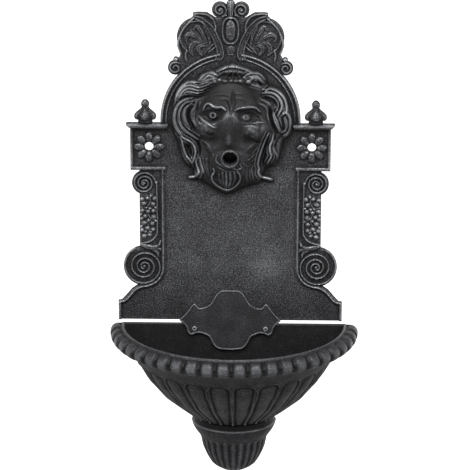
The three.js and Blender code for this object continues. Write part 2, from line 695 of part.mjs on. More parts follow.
// Cup that the foot of the bowl stands in
function corbelCup() {
  const top = basinTop - basinHeight + cupOverlap;
  const line = [[0.96, 0], [1, -0.03], [0.98, -0.13], [0.77, -0.35], [0.735, -0.4], [0.66, -0.64], [0.44, -0.89],
    [0, -1]];
  const profile = line.map(([r, s]) => [r * cupRadius, top + s * cupHeight]);
  const fluteTop = top - 0.38 * cupHeight;
  const fluted = (radius, h, angle, i) => (h < fluteTop && radius > 5 && i % 2 === 0 ? -cupFluteDepth : 0);
  const body = halfTurn(profile, cupFlutes * 2, fluted);
  const footRadius = bowlPoint(1).radius;
  const ledge = basinTop - basinHeight - seat;
  const inside = footRadius - cupLedge;
  const room = halfTurn([[0, top + 5], [cupRadius - cupWall, top + 5], [cupRadius - cupWall, ledge], [inside, ledge],
    [inside, ledge - 0.25 * cupHeight], [inside * 0.8, ledge - 0.55 * cupHeight], [0, ledge - 0.75 * cupHeight]], 12);
  return body.subtract(wasm.Manifold.intersection(room, inFront(cupWall)));
}

const coverHalfOutline = [[0, 1], [0.15, 1], [0.29, 0.83], [0.39, 0.58], [0.56, 0.42], [0.76, 0.52], [0.85, 0.31],
  [1, 0.03], [0.88, -0.24], [0.84, -0.42], [0.77, -0.49], [0.62, -0.43], [0.45, -0.5], [0.36, -0.78], [0.21, -0.96],
  [0, -1]];

function coverOutline() {
  const right = coverHalfOutline.map(([x, h]) => [x * coverHalfWidth,
    h * (h > 0 ? coverReachUp : coverReachDown)]);
  const left = right.slice(1, -1).reverse().map(([x, h]) => [-x, h]);
  return [...right, ...left];
}

function joiningPlate() {
  const from = plateFace + seat;
  const to = from + coverThickness;
  let shape = slab(coverOutline(), from, to);
  for (const side of [-1, 1]) {
    shape = shape.subtract(disc(side * screwOffset, -screwDrop, screwShankRadius + screwPlay, 0, maskDepth, 8));
  }
  return shape;
}

function coverScrew(side) {
  const seatOut = plateFace + seat + coverThickness + seat;
  const head = disc(side * screwOffset, -screwDrop, screwHeadRadius, seatOut, seatOut + screwHeadHeight, 12);
  const shank = disc(side * screwOffset, -screwDrop, screwShankRadius, 1, seatOut + 1, 8);
  const socket = disc(side * screwOffset, -screwDrop, screwSocketRadius, seatOut + 0.3 * screwHeadHeight,
    seatOut + 2 * screwHeadHeight, 6);
  return head.add(shank).subtract(socket);
}

const fountain = new THREE.Group();
fountain.add(node('backplate', backplate(), castIron));
fountain.add(node('joining_plate', joiningPlate(), castIron));
fountain.add(node('basin', basin(), basinIron));
fountain.add(node('corbel_cup', corbelCup(), basinIron));
fountain.add(node('cover_screw_left', coverScrew(-1), screwSteel));
fountain.add(node('cover_screw_right', coverScrew(1), screwSteel));

export default fountain;
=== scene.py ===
import math
import bmesh
import bpy
import numpy as np
from mathutils import Matrix, Vector


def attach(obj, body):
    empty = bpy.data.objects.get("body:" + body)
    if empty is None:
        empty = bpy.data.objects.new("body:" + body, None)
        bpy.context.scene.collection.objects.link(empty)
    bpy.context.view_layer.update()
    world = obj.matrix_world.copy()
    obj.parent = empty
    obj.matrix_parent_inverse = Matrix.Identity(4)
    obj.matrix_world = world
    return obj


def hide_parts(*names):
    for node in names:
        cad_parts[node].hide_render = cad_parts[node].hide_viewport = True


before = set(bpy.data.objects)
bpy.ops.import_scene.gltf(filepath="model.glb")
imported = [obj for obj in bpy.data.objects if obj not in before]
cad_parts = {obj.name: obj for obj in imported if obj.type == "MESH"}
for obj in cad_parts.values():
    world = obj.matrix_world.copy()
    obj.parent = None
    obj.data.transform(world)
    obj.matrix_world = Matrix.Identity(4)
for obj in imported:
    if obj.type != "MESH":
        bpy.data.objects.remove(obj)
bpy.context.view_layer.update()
print("frame loaded")

# Sizes in millimetres: x from the plate's centre line, h above the plate's lower edge, out from the wall
originHeight = 150.0


def place(x, h, out):
    return np.stack([x, -np.asarray(out, float), h - originHeight], axis=-1) * 0.001


def linear(code):  # sRGB hex to a linear colour
    parts = [int(code[i:i + 2], 16) / 255 for i in (1, 3, 5)]
    return [p / 12.92 if p <= 0.04045 else ((p + 0.055) / 1.055) ** 2.4 for p in parts] + [1.0]


def addNode(tree, kind, inputs=None, **settings):  # one node with its settings, values and links
    node = tree.nodes.new(kind)
    for key, value in settings.items():
        setattr(node, key, value)
    for socket, value in (inputs or {}).items():
        if isinstance(value, bpy.types.NodeSocket):
            tree.links.new(value, node.inputs[socket])
        else:
            node.inputs[socket].default_value = value
    return node


def newMaterial(name):
    material = bpy.data.materials.new(name)
    material.use_nodes = True
    material.node_tree.nodes.clear()
    return material, material.node_tree


# Sand-cast grey iron under a graphite finish: near black in the hollows, rubbed to grey on the high points. The
# same tone attribute also carries painted highlights and painted shade, shown through this ramp
def castIron(name, look):
    material, tree = newMaterial(name)
    spot = addNode(tree, "ShaderNodeTexCoord").outputs["Object"]
    wearAndPaintedLight = addNode(tree, "ShaderNodeAttribute", attribute_name="wearAndPaintedLight").outputs["Fac"]
    sandy = addNode(tree, "ShaderNodeAttribute", attribute_name="sandy").outputs["Fac"]
    # grains of the sand mould, about 2 mm, drawn a little coarse so that they show
    grain = addNode(tree, "ShaderNodeTexNoise", {"Vector": spot, "Scale": look["grainScale"], "Detail": 3.0,
                                                 "Roughness": 0.65}).outputs["Fac"]
    # patches of uneven rubbing, 15 to 35 mm across
    patch = addNode(tree, "ShaderNodeTexNoise", {"Vector": spot, "Scale": look["patchScale"], "Detail": 3.0,
                                                 "Roughness": 0.6}).outputs["Fac"]
    speck = addNode(tree, "ShaderNodeMapRange", {"Value": grain, "From Min": 0.38, "From Max": 0.66,
                                                 "To Min": -0.8 * look["speckle"],
                                                 "To Max": look["speckle"]}).outputs[0]
    cloud = addNode(tree, "ShaderNodeMapRange", {"Value": patch, "From Min": 0.35, "From Max": 0.65,
                                                 "To Min": -look["cloud"], "To Max": look["cloud"]}).outputs[0]
    speck = addNode(tree, "ShaderNodeMath", {0: speck, 1: sandy}, operation="MULTIPLY").outputs[0]
    rubbedAndPaintedLight = addNode(tree, "ShaderNodeMath", {0: wearAndPaintedLight, 1: speck}, operation="ADD").outputs[0]
    rubbedAndPaintedLight = addNode(tree, "ShaderNodeMath", {0: rubbedAndPaintedLight, 1: cloud}, operation="ADD", use_clamp=True).outputs[0]
    ramp = addNode(tree, "ShaderNodeValToRGB", {"Fac": rubbedAndPaintedLight})
    stops = ramp.color_ramp.elements
    stops[0].position, stops[0].color = 0.0, linear(look["hollow"])
    stops[1].position, stops[1].color = 1.0, linear(look["rubbedAndPaintedLight"])
    for position, code in ((0.34, look["skin"]), (0.66, look["edge"])):
        stop = stops.new(position)
        stop.color = linear(code)
    rough = addNode(tree, "ShaderNodeMapRange", {"Value": rubbedAndPaintedLight, "From Min": 0.0, "From Max": 1.0,
                                                 "To Min": look["roughHollow"],
                                                 "To Max": look["roughRubbed"]}).outputs[0]
    bump = addNode(tree, "ShaderNodeBump", {"Height": grain, "Strength": sandy,
                                            "Distance": look["grainDepth"] * 0.001})
    bump = addNode(tree, "ShaderNodeBump", {"Height": patch, "Strength": 1.0, "Distance": 0.0006,
                                            "Normal": bump.outputs["Normal"]})
    shader = addNode(tree, "ShaderNodeBsdfPrincipled", {"Base Color": ramp.outputs["Color"], "Roughness": rough,
                                                        "Metallic": look["metallic"],
                                                        "Normal": bump.outputs["Normal"]})
    addNode(tree, "ShaderNodeOutputMaterial", {"Surface": shader.outputs["BSDF"]})
    return material


plateLook = {"hollow": "#1b1b1c", "skin": "#3a3a3c", "edge": "#6c6d70", "rubbedAndPaintedLight": "#a5a7aa", "metallic": 0.55,
             "roughHollow": 0.62, "roughRubbed": 0.36, "grainScale": 480.0, "grainDepth": 0.5, "speckle": 0.36,
             "patchScale": 30.0, "cloud": 0.06}
basinLook = {"hollow": "#121213", "skin": "#2c2c2e", "edge": "#5a5b5e", "rubbedAndPaintedLight": "#94969a", "metallic": 0.55,
             "roughHollow": 0.62, "roughRubbed": 0.38, "grainScale": 460.0, "grainDepth": 0.3, "speckle": 0.16,
             "patchScale": 70.0, "cloud": 0.05}
plateIron = castIron("graphiteCastIronPlate", plateLook)
basinIron = castIron("graphiteCastIronBasin", basinLook)


# Zinc-plated steel: bright, faintly clouded grey, with painted shade in the socket and down the side of the
# head
def screwSteel():
    material, tree = newMaterial("zincPlatedSteel")
    spot = addNode(tree, "ShaderNodeTexCoord").outputs["Object"]
    cloud = addNode(tree, "ShaderNodeTexNoise", {"Vector": spot, "Scale": 900.0, "Detail": 2.0}).outputs["Fac"]
    depth = addNode(tree, "ShaderNodeSeparateXYZ", {"Vector": spot}).outputs["Y"]
    # the deeper parts, towards the wall, painted darker as shade
    paintedLightByDepth = addNode(tree, "ShaderNodeMapRange", {"Value": depth, "From Min": -0.0139, "From Max": -0.0129,
                                                 "To Min": 1.0, "To Max": 0.0}).outputs[0]
    paintedLightByDepth = addNode(tree, "ShaderNodeMath", {0: cloud, 1: -0.2, 2: paintedLightByDepth}, operation="MULTIPLY_ADD",
                    use_clamp=True).outputs[0]
    tone = addNode(tree, "ShaderNodeValToRGB", {"Fac": paintedLightByDepth})
    tone.color_ramp.elements[0].color = linear("#161617")  # painted shade in the socket and down the side of the head
    tone.color_ramp.elements[1].color = linear("#e6e8ea")
    rough = addNode(tree, "ShaderNodeMapRange", {"Value": cloud, "To Min": 0.22, "To Max": 0.4}).outputs[0]
    shader = addNode(tree, "ShaderNodeBsdfPrincipled", {"Base Color": tone.outputs["Color"], "Roughness": rough,
                                                        "Metallic": 0.7})
    addNode(tree, "ShaderNodeOutputMaterial", {"Surface": shader.outputs["BSDF"]})
    return material


steel = screwSteel()


# Relief: heights off the wall on a fine grid
def newRelief(left, right, foot, top, step):
    xs = np.arange(left, right + step / 2, step)
    hs = np.arange(foot, top + step / 2, step)
    x, h = np.meshgrid(xs, hs, indexing="ij")
    return {"xs": xs, "hs": hs, "x": x, "h": h, "step": step, "out": np.zeros_like(x),
            "rubbedAndPaintedLight": np.zeros_like(x),
            "polish": np.full(x.shape, wearOf["fine"]), "sandy": np.ones_like(x)}


def window(relief, line, reach):  # the patch of the grid round a line of points
    line = np.asarray(line, float)
    low, high = line.min(0) - reach, line.max(0) + reach
    return (slice(*np.searchsorted(relief["xs"], [low[0], high[0]])),
            slice(*np.searchsorted(relief["hs"], [low[1], high[1]])))


def smoothLine(points, steps=6):
    p = np.asarray(points, float)
    p = np.vstack([2 * p[0] - p[1], p, 2 * p[-1] - p[-2]])
    line = []
    for i in range(1, len(p) - 2):
        a, b, c, d = p[i - 1:i + 3]
        for t in np.linspace(0, 1, steps, endpoint=False):
            line.append(0.5 * (2 * b + (c - a) * t + (2 * a - 5 * b + 4 * c - d) * t ** 2
                               + (3 * b - a - 3 * c + d) * t ** 3))
    line.append(p[-2])
    return np.array(line)


def arcLine(x, h, radius, start, end, steps=24):  # degrees, anticlockwise from the right
    turn = np.radians(np.linspace(start, end, steps + 1))
    return np.stack([x + radius * np.cos(turn), h + radius * np.sin(turn)], 1)


def nearLine(x, h, line):  # distance to a line, which side of it, and the share along it
    best = np.full(x.shape, 1e9)
    side = np.zeros(x.shape)
    share = np.zeros(x.shape)
    count = len(line) - 1
    for k in range(count):
        (ax, ah), (bx, bh) = line[k], line[k + 1]
        dx, dh = bx - ax, bh - ah
        t = np.clip(((x - ax) * dx + (h - ah) * dh) / max(dx * dx + dh * dh, 1e-9), 0, 1)
        d = np.hypot(x - ax - t * dx, h - ah - t * dh)
        near = d < best
        best = np.where(near, d, best)
        side = np.where(near, np.sign(dx * (h - ah) - dh * (x - ax)), side)
        share = np.where(near, (k + t) / count, share)
    return best, side, share


def flip(points, side):
    return np.array([(side * x, h) for x, h in points])


def nearby(relief, line, reach):  # the patch round a line, and how each of its points lies to the line
    w = window(relief, line, reach)
    return (w, *nearLine(relief["x"][w], relief["h"][w], line))


def oval(relief, x, h, halfWidth, halfHeight, turn):  # one in the middle, falling to nothing at the edge
    w = window(relief, [(x, h)], max(halfWidth, halfHeight))
    c, s = math.cos(math.radians(turn)), math.sin(math.radians(turn))
    dx, dh = relief["x"][w] - x, relief["h"][w] - h
    r2 = ((c * dx + s * dh) / halfWidth) ** 2 + ((c * dh - s * dx) / halfHeight) ** 2
    return w, np.clip(1 - r2, 0, 1)


def dome(gap, half):  # one on a line, falling to nothing at half
    return np.clip(1 - (gap / half) ** 2, 0, 1)


# A rounded bead of one width along a line
def bead(relief, line, width, rise, base, power=0.6):
    half = width / 2
    w, gap, _, _ = nearby(relief, line, half)
    out = relief["out"][w]
    out[:] = np.where(gap < half, np.maximum(out, base + rise * dome(gap, half) ** power), out)


# The ridge of a scroll, wound inwards from a start angle by so many degrees; reach is its radius on the way
def scrollRidge(relief, spot, side, start, sweep, reach, width, rise, base):
    line = arcLine(0, 0, 1, start, start - sweep, len(reach) - 1) * reach[:, None] + spot
    bead(relief, flip(line, side), width, rise, base)


# A tapering lock of hair or leaf along a line, with finer strands along it; widths at its root, middle and tip.
# Its crest is painted lighter by the last amount, a painted highlight over the rubbed crest, and darker, as
# painted shade, where that amount is negative
def lock(relief, points, widths, rise, ground, strands=0, groove=0.3, power=0.7, sink=1.0, paintedHighlight=0.0):
    w, gap, side, share = nearby(relief, smoothLine(points, 5), max(widths) / 2)
    half = np.interp(share, [0, 0.5, 1], widths) / 2
    u = np.clip(side * gap / half, -1, 1)
    shape = (1 - u * u) ** power
    if strands:
        shape = shape * (1 - groove * (1 - np.abs(np.sin(math.pi * strands * (u + 1) / 2))) ** 2)
    high = rise * np.minimum(1, 2 * half / max(widths) + 0.25)
    base = ground[w] if isinstance(ground, np.ndarray) else ground
    out = relief["out"][w]
    out[:] = np.where(gap < half, np.maximum(out, base - sink + (high + sink) * shape), out)
    # a painted highlight along the crest, fading towards the ends
    crest = dome(gap, 0.5 * half + 0.5) * np.clip(6 * np.minimum(share, 1 - share) + 0.3, 0, 1)
    relief["rubbedAndPaintedLight"][w] += paintedHighlight * crest


# A line made lighter, for rubbed wear and for painted highlights, and darker, as painted shade, where the
# amount is negative
def rubAndPaintLight(relief, points, width, amount):
    half = width / 2
    w, gap, _, _ = nearby(relief, smoothLine(points, 5), half)
    relief["rubbedAndPaintedLight"][w] += amount * dome(gap, half)


# A soft swelling, or a hollow where rise is negative
def swell(relief, x, h, halfWidth, halfHeight, rise, turn=0.0, power=2.0, layer="out"):
    w, share = oval(relief, x, h, halfWidth, halfHeight, turn)
    relief[layer][w] += rise * share ** power


# A domed lump that stands on a ground height
def lump(relief, x, h, halfWidth, halfHeight, rise, base, turn=0.0, power=0.6):
    w, share = oval(relief, x, h, halfWidth, halfHeight, turn)
    out = relief["out"][w]
    out[:] = np.where(share > 0, np.maximum(out, base + rise * share ** power), out)


# A groove cut along a line, fading at its ends
def groove(relief, points, width, depth):
    half = width / 2
    w, gap, _, share = nearby(relief, smoothLine(points, 5), half)
    fade = np.clip(4 * np.minimum(share, 1 - share) + 0.15, 0, 1)
    relief["out"][w] -= depth * fade * dome(gap, half) ** 1.2


# Distances to outlines, negative inside
def circleGap(x, h, centreX, centreH, radius):
    return np.hypot(x - centreX, h - centreH) - radius


def boxGap(x, h, x0, x1, h0, h1):
    dx = np.abs(x - (x0 + x1) / 2) - (x1 - x0) / 2
    dh = np.abs(h - (h0 + h1) / 2) - (h1 - h0) / 2
    return np.minimum(np.maximum(dx, dh), 0) + np.hypot(np.maximum(dx, 0), np.maximum(dh, 0))


def outlineGap(x, h, points):
    line = np.vstack([points, points[:1]])
    gap = np.full(x.shape, 1e9)
    inside = np.zeros(x.shape, bool)
    for (ax, ah), (bx, bh) in zip(line[:-1], line[1:]):
        dx, dh = bx - ax, bh - ah
        t = np.clip(((x - ax) * dx + (h - ah) * dh) / max(dx * dx + dh * dh, 1e-9), 0, 1)
        gap = np.minimum(gap, np.hypot(x - ax - t * dx, h - ah - t * dh))
        if dh != 0:
            inside ^= ((ah > h) != (bh > h)) & (x < dx * (h - ah) / dh + ax)
    return np.where(inside, -gap, gap)


def blurred(grid, radius, step):  # three running means, close to a soft round blur
    n = max(int(round(radius / step)), 1)
    for _ in range(3):
        for axis in (0, 1):
            pad = [(0, 0), (0, 0)]
            pad[axis] = (n + 1, n)
            total = np.cumsum(np.pad(grid, pad, mode="edge"), axis=axis)
            size = grid.shape[axis]
            upper = np.take(total, range(2 * n + 1, 2 * n + 1 + size), axis=axis)
            lower = np.take(total, range(0, size), axis=axis)
            grid = (upper - lower) / (2 * n + 1)
    return grid


def sample(relief, grid, x, h):  # bilinear reading of a grid
    step = relief["step"]
    i = np.clip((x - relief["xs"][0]) / step, 0, grid.shape[0] - 1.001)
    k = np.clip((h - relief["hs"][0]) / step, 0, grid.shape[1] - 1.001)
    i0, k0 = i.astype(int), k.astype(int)
    i, k = i - i0, k - k0
    return ((1 - i) * (1 - k) * grid[i0, k0] + i * (1 - k) * grid[i0 + 1, k0]
            + (1 - i) * k * grid[i0, k0 + 1] + i * k * grid[i0 + 1, k0 + 1])


def heightAt(relief, x, h):
    return float(sample(relief, relief["out"], np.array([x], float), np.array([h], float))[0])


def roundEdge(relief, gap, depth, reach, least=2.5):  # the cast edge falls off towards the outline
    relief["out"] = np.maximum(relief["out"] - depth * np.clip(1 + gap / reach, 0, 1) ** 2, least)


def newMesh(name, points, faces):
    mesh = bpy.data.meshes.new(name)
    mesh.from_pydata(np.asarray(points).tolist(), [], np.asarray(faces).tolist())
    mesh.update()
    piece = bpy.data.objects.new(name, mesh)
    bpy.context.scene.collection.objects.link(piece)
    return piece


def plain(piece):  # the evaluated mesh takes the place of the modifiers
    graph = bpy.context.evaluated_depsgraph_get()
    mesh = bpy.data.meshes.new_from_object(piece.evaluated_get(graph))
    piece.modifiers.clear()
    piece.data = mesh


def finish(piece, material, sharp):
    piece.data.materials.clear()
    piece.data.materials.append(material)
    piece.data.shade_smooth()
    piece.data.set_sharp_from_angle(angle=math.radians(sharp))
    print(piece.name + ":", len(piece.data.polygons), "faces")


# How rubbed the iron is, from 0 in soot-black hollows to 1 on bare high points: its level on each side,
# and what is added for each millimetre that a point stands proud of its near or wide surroundings
wearOf = {"front": 0.33, "back": 0.25, "inside": 0.12, "fine": 0.26, "fineReach": 1.8, "broad": 0.05,
          "broadReach": 6.0}


def writeWearAndPaintedLight(piece, wearAndPaintedLight, sandy):  # how rubbed the iron is, with the painted highlights and painted shade added in, and how strong its sand grain is
    for label, values in (("wearAndPaintedLight", wearAndPaintedLight), ("sandy", sandy)):
        layer = piece.data.attributes.new(label, "FLOAT", "POINT")
        layer.data.foreach_set("value", np.clip(values, 0, 1).astype(np.float32))


# A casting from its relief, its outline and its back: the front is the grid, the border follows the outline
def castRelief(name, relief, gap, back, triangles):
    slope = np.gradient(gap, relief["step"])
    length = np.maximum(np.hypot(*slope), 1e-6)
    middle = (gap[:-1, :-1] + gap[1:, :-1] + gap[:-1, 1:] + gap[1:, 1:]) / 4
    cells = np.argwhere(middle < 0)
    columns = gap.shape[1]
    corner = cells[:, 0] * columns + cells[:, 1]
    quads = np.stack([corner, corner + columns, corner + columns + 1, corner + 1], 1)
    used, quads = np.unique(quads, return_inverse=True)
    quads = quads.reshape(-1, 4)
    count = len(used)
    heads = quads.ravel()
    tails = np.roll(quads, -1, 1).ravel()
    key = heads.astype(np.int64) * count + tails
    border = ~np.isin(key, tails.astype(np.int64) * count + heads)
    rim = np.zeros(count, bool)
    rim[heads[border]] = True
    x, h = relief["x"].ravel()[used], relief["h"].ravel()[used]
    move = np.where(rim, gap.ravel()[used] / length.ravel()[used], 0)
    x = x - move * slope[0].ravel()[used] / length.ravel()[used]
    h = h - move * slope[1].ravel()[used] / length.ravel()[used]
    front = place(x, h, relief["out"].ravel()[used])
    rear = place(x, h, back.ravel()[used])
    walls = np.stack([tails[border], heads[border], heads[border] + count, tails[border] + count], 1)
    faces = np.vstack([quads, quads[:, ::-1] + count, walls])
    piece = newMesh(name, np.vstack([front, rear]), faces)
    thin = piece.modifiers.new("thin", "DECIMATE")
    thin.ratio = min(triangles / (2 * len(faces)), 1.0)
    plain(piece)
    points = np.zeros(len(piece.data.vertices) * 3)
    piece.data.vertices.foreach_get("co", points)
    points = points.reshape(-1, 3) * 1000
    fine, broad = (relief["out"] - blurred(relief["out"], wearOf[key], relief["step"])
                   for key in ("fineReach", "broadReach"))
    wearAndPaintedLight = wearOf["front"] + relief["polish"] * np.clip(fine, -1, 1.4) + wearOf["broad"] * np.clip(broad, -3, 4)
    # the rubbed layer brings in the painted highlights and painted shade
    wearAndPaintedLight += relief["rubbedAndPaintedLight"]
    sampledWearAndPaintedLight, surface, sandy = (sample(relief, grid, points[:, 0], points[:, 2] + originHeight)
                            for grid in (wearAndPaintedLight, relief["out"], relief["sandy"]))
    writeWearAndPaintedLight(piece, np.where(-points[:, 1] > surface - 2.5, sampledWearAndPaintedLight, wearOf["back"]), sandy)
    return piece


# The back plate
plate = {
    "step": 0.8, "thickness": 6.0, "triangles": 188000, "uneven": 0.06,
    "grid": (-186.4, 186.4, -1.6, 540.0),  # left, right, foot and top of the relief
    # round parts: x and h of the centre, radius, and turns or pitch where it is wound
    "largeScroll": (140.5, 92.5, 34.0, 3.4), "smallScroll": (139.8, 234.0, 20.0, 6.0),
    "arch": (0.0, 339.0, 113.0), "shell": (54.0, 476.0, 32.0), "ear": (88.5, 426.0, 12.0),
    "earBud": (87.5, 439.5, 4.3), "topScroll": (17.0, 521.0, 13.0), "fixing": (131.5, 294.8, 7.0),
    "petals": 8, "petalReach": 16.4,
    "mouth": (0.0, 285.0, 11.5), "feed": (0.0, 291.5, 4.5), "finialOffset": 137.5,
    "socketFloor": 14.0, "socketBack": 10.0, "socketRadius": 15.0,
    # behind the mask: x, h, half width, half height and depth of the hollow, and the walls it leaves
    "hollow": (0.0, 330.0, 78.0, 92.0, 40.0), "hollowWall": 7.0, "leastWall": 3.5,
    # soft patches of painted sheen on the flat field: x, h, width, height and amount
    "sheen": [(62, 98, 34, 30, 0.17), (10, 170, 40, 32, 0.04)],
}


def finialHalf(h):  # half width of a finial at a height
    return np.interp(h, [333, 334.5, 338, 339.5, 341, 344, 348, 352, 356, 359, 361, 364, 367, 370, 372, 373],
                     [0, 12, 11.5, 11, 16.5, 18, 17.5, 14, 9, 6, 5.6, 6.6, 6.6, 4.8, 2.5, -3],
                     left=-3, right=-3)


def plateGap(p, x, h):
    a = np.abs(x)
    foot = np.array([(-30, 0), (183.6, 0), (183.6, 32.5), (178, 33.5), (171, 41), (161, 53), (151, 60),
                     (140, 62), (-30, 62)])
    ledge = np.array([(-30, 326), (162, 326), (168.5, 333.5), (168, 334.5), (-30, 334.5)])
    crown = np.array([(-30, 416), (84, 416), (84, 440), (80.5, 447), (86, 462), (84.5, 475), (79, 489),
                      (71, 500), (60, 510), (60, 516), (52, 517), (38, 516.5), (24, 508), (0, 512), (-30, 512)])
    gap = np.minimum(outlineGap(a, h, foot), boxGap(a, h, -147.7, 147.7, 50, 330))
    for name in ("largeScroll", "smallScroll", "shell", "ear", "earBud", "topScroll"):
        gap = np.minimum(gap, circleGap(a, h, *p[name][:3]))
    gap = np.minimum(gap, boxGap(a, h, 0, 162, 255, 327))
    gap = np.minimum(gap, np.maximum(circleGap(a, h, *p["arch"]), 325 - h))
    gap = np.minimum(gap, np.minimum(outlineGap(a, h, ledge), outlineGap(a, h, crown)))
    gap = np.minimum(gap, np.minimum(boxGap(a, h, -6.5, 6.5, 505, 533), circleGap(a, h, 0, 531, 6.3)))
    gap = np.minimum(gap, np.where(h > 333, (np.abs(a - p["finialOffset"]) - finialHalf(h)) * 0.8, 1e9))
    for name in ("fixing", "feed"):
        gap = np.maximum(gap, -circleGap(a, h, *p[name]))
    return gap


def carveStrip(relief, p, side):
    base = p["thickness"]
    moulding = smoothLine(flip([(109.7, 259), (109.7, 200), (109.7, 150), (109.6, 100), (110.6, 84), (115, 73),
                                (123, 64.5), (134, 59.5), (146, 57), (156, 51), (164, 42), (172, 33.5),
                                (181, 31.2)], side))
    bead(relief, moulding, 7.4, 1.4, base, 0.35)
    bead(relief, moulding, 4.0, 4.0, base)
    bead(relief, flip([(181.2, 0), (181.2, 31)], side), 5.0, 3.4, base, 0.4)
    x, h, radius, turns = p["largeScroll"]
    turned = np.linspace(0, turns, 171)
    reach = radius * (0.99 - 0.37 * turned + 0.0335 * turned ** 2)  # the ridges close up towards the middle
    scrollRidge(relief, (x, h), side, 62, 360 * turns, reach, 2.8, 4.2, base)
    lump(relief, side * x, h, 2.6, 2.6, 3.6, base)
    x, h, radius, pitch = p["smallScroll"]
    turns = (radius - 1.2) / pitch - 0.5
    reach = (radius - 1.4) - pitch * turns * np.linspace(0, 1, 121)
    scrollRidge(relief, (x, h), side, 180, 360 * turns, reach, 2.6, 4.0, base)
    lump(relief, side * x, h, 3.0, 3.0, 3.8, base)
    panel = smoothLine(flip([(119.4, 236), (119.0, 200), (118.8, 155), (121, 145), (128, 137), (138, 133),
                             (146, 132)], side))
    bead(relief, panel, 2.8, 3.6, base)


# Vine with berries between the scrolls: place and half size of each berry
berries = [(122.5, 207.5, 4.2), (134.5, 208.5, 3.6), (143.5, 206.5, 3.8), (125.5, 198, 4.4), (140.5, 199, 4.2),
           (124.5, 187, 4.2), (133.5, 185.5, 3.6), (143, 187.5, 4.0), (124.5, 176, 4.4), (138.5, 177.5, 3.8),
           (144, 174, 3.2), (126.5, 165.5, 4.0), (140.5, 166, 4.4), (126, 155, 3.8), (135, 157, 4.0),
           (143.5, 154, 3.8), (131, 146, 3.4), (140, 144, 4.2), (121.5, 192.5, 2.8), (145.5, 180.5, 2.8),
           (130.5, 191, 2.8), (121, 170, 2.8), (133.5, 171, 2.8), (145.5, 160, 2.8), (129.5, 151, 2.6),
           (138, 151.5, 2.6), (129, 212, 2.6)]
vine = [[(131, 212), (130, 203), (133, 196), (138, 189)], [(138, 189), (133, 180), (130, 172), (134, 164)],
        [(134, 164), (131, 155), (134, 148), (141, 140)], [(130, 203), (122, 194)], [(134, 192), (146, 193)],
        [(131, 176), (122, 170)], [(133, 170), (146, 160)]]


def carveBerries(relief, p, side):
    rubAndPaintLight(relief, flip([(133, 140), (133, 175), (133, 212)], side), 32, 0.1)
    for points in vine:
        lock(relief, flip(points, side), (1.6, 2.6, 1.6), 2.4, p["thickness"], power=0.6, sink=0.2)
    for x, h, half in berries:
        lump(relief, side * x, h, half * 1.12, half, 3.2, p["thickness"])
        # each berry painted a touch lighter above its middle as a highlight
        swell(relief, side * x, h + 0.5, half, half, 0.03, 0, 1.0, "rubbedAndPaintedLight")
    leaves = [([(147, 130), (135, 126), (119, 123.5)], (5, 9, 6)),
              ([(126, 126), (117, 128), (113.5, 137)], (5, 6, 2)),
              ([(124, 123), (115, 122), (112, 117)], (4, 6, 2)),
              ([(128, 122), (119, 117), (117, 109)], (4, 6, 2))]
    for points, widths in leaves:
        lock(relief, flip(points, side), widths, 3.8, p["thickness"], sink=0.2, strands=2, groove=0.2,
             power=0.4)


def carveCorner(relief, p, side):
    base = p["thickness"]
    fixingX, fixingH, _ = p["fixing"]
    for turn in np.arange(p["petals"]) * 360 / p["petals"]:
        (petalX, petalH), = arcLine(fixingX, fixingH, p["petalReach"], turn, turn, 0)
        lump(relief, side * petalX, petalH, 8.6, 6.2, 4.4, base, side * turn, 0.38)
    x, h, out = relief["x"] * side, relief["h"], relief["out"]

    def raised(gap, height, least=0.25):  # a flat ledge with softened edges
        out[:] = np.where(gap < 0, np.maximum(out, base + height * np.clip(-gap / 1.2, least, 1) ** 0.5), out)
    swell(relief, side * fixingX, fixingH, 27, 27, -0.1, 0, 0.3, "rubbedAndPaintedLight")
    raised(boxGap(x, h, 157.2, 163, 256, 327), 3.2)
    raised(boxGap(x, h, 105.5, 163, 256, 262.2), 3.8)
    raised(boxGap(x, h, 105.5, 163, 322.8, 327), 2.2)
    cap = np.array([(102, 325.5), (163, 325.5), (169.5, 333), (169.5, 334.3), (100, 334.3)])
    raised(outlineGap(x, h, cap), 5.5 + 6.5 * np.clip((h - 325.5) / 6.5, 0, 1), 0.3)
    # dark lines painted as shadow along the die's lower moulding and along its cap
    for level in (258.2, 329.6):
        rubAndPaintLight(relief, flip([(107, level), (135, level), (160, level)], side), 4.4, -0.16)


def carveFinial(relief, p, side):
    x, h, out = (relief["x"] * side - p["finialOffset"]), relief["h"], relief["out"]
    half = finialHalf(h)
    u = np.clip(x / np.maximum(half, 0.1), -1, 1)
    valleys = np.where((h > 340) & (h < 358), 1 - np.abs(np.sin(2.5 * np.arcsin(u) + math.pi / 2)), 0)
    inside = np.abs(x) < half
    out[:] = np.where(inside, 5.0 + 0.62 * half * np.sqrt(1 - u * u) * (1 - 0.4 * valleys), out)
    # the finial painted darker as shade, darkest in the valleys between its ribs
    relief["rubbedAndPaintedLight"] -= np.where(inside, 0.2 + 0.32 * valleys, 0)


def carveArch(relief, p):
    x, h, radius = p["arch"]
    base = p["thickness"]
    for side in (-1, 1):  # the bands stop at the feet of the crest's two bands
        bead(relief, flip(arcLine(x, h, radius - 2.4, -2, 80.5, 60), side), 4.0, 4.4, base, 0.5)
        bead(relief, flip(arcLine(x, h, radius - 9.4, -2, 80, 60), side), 3.0, 2.8, base)


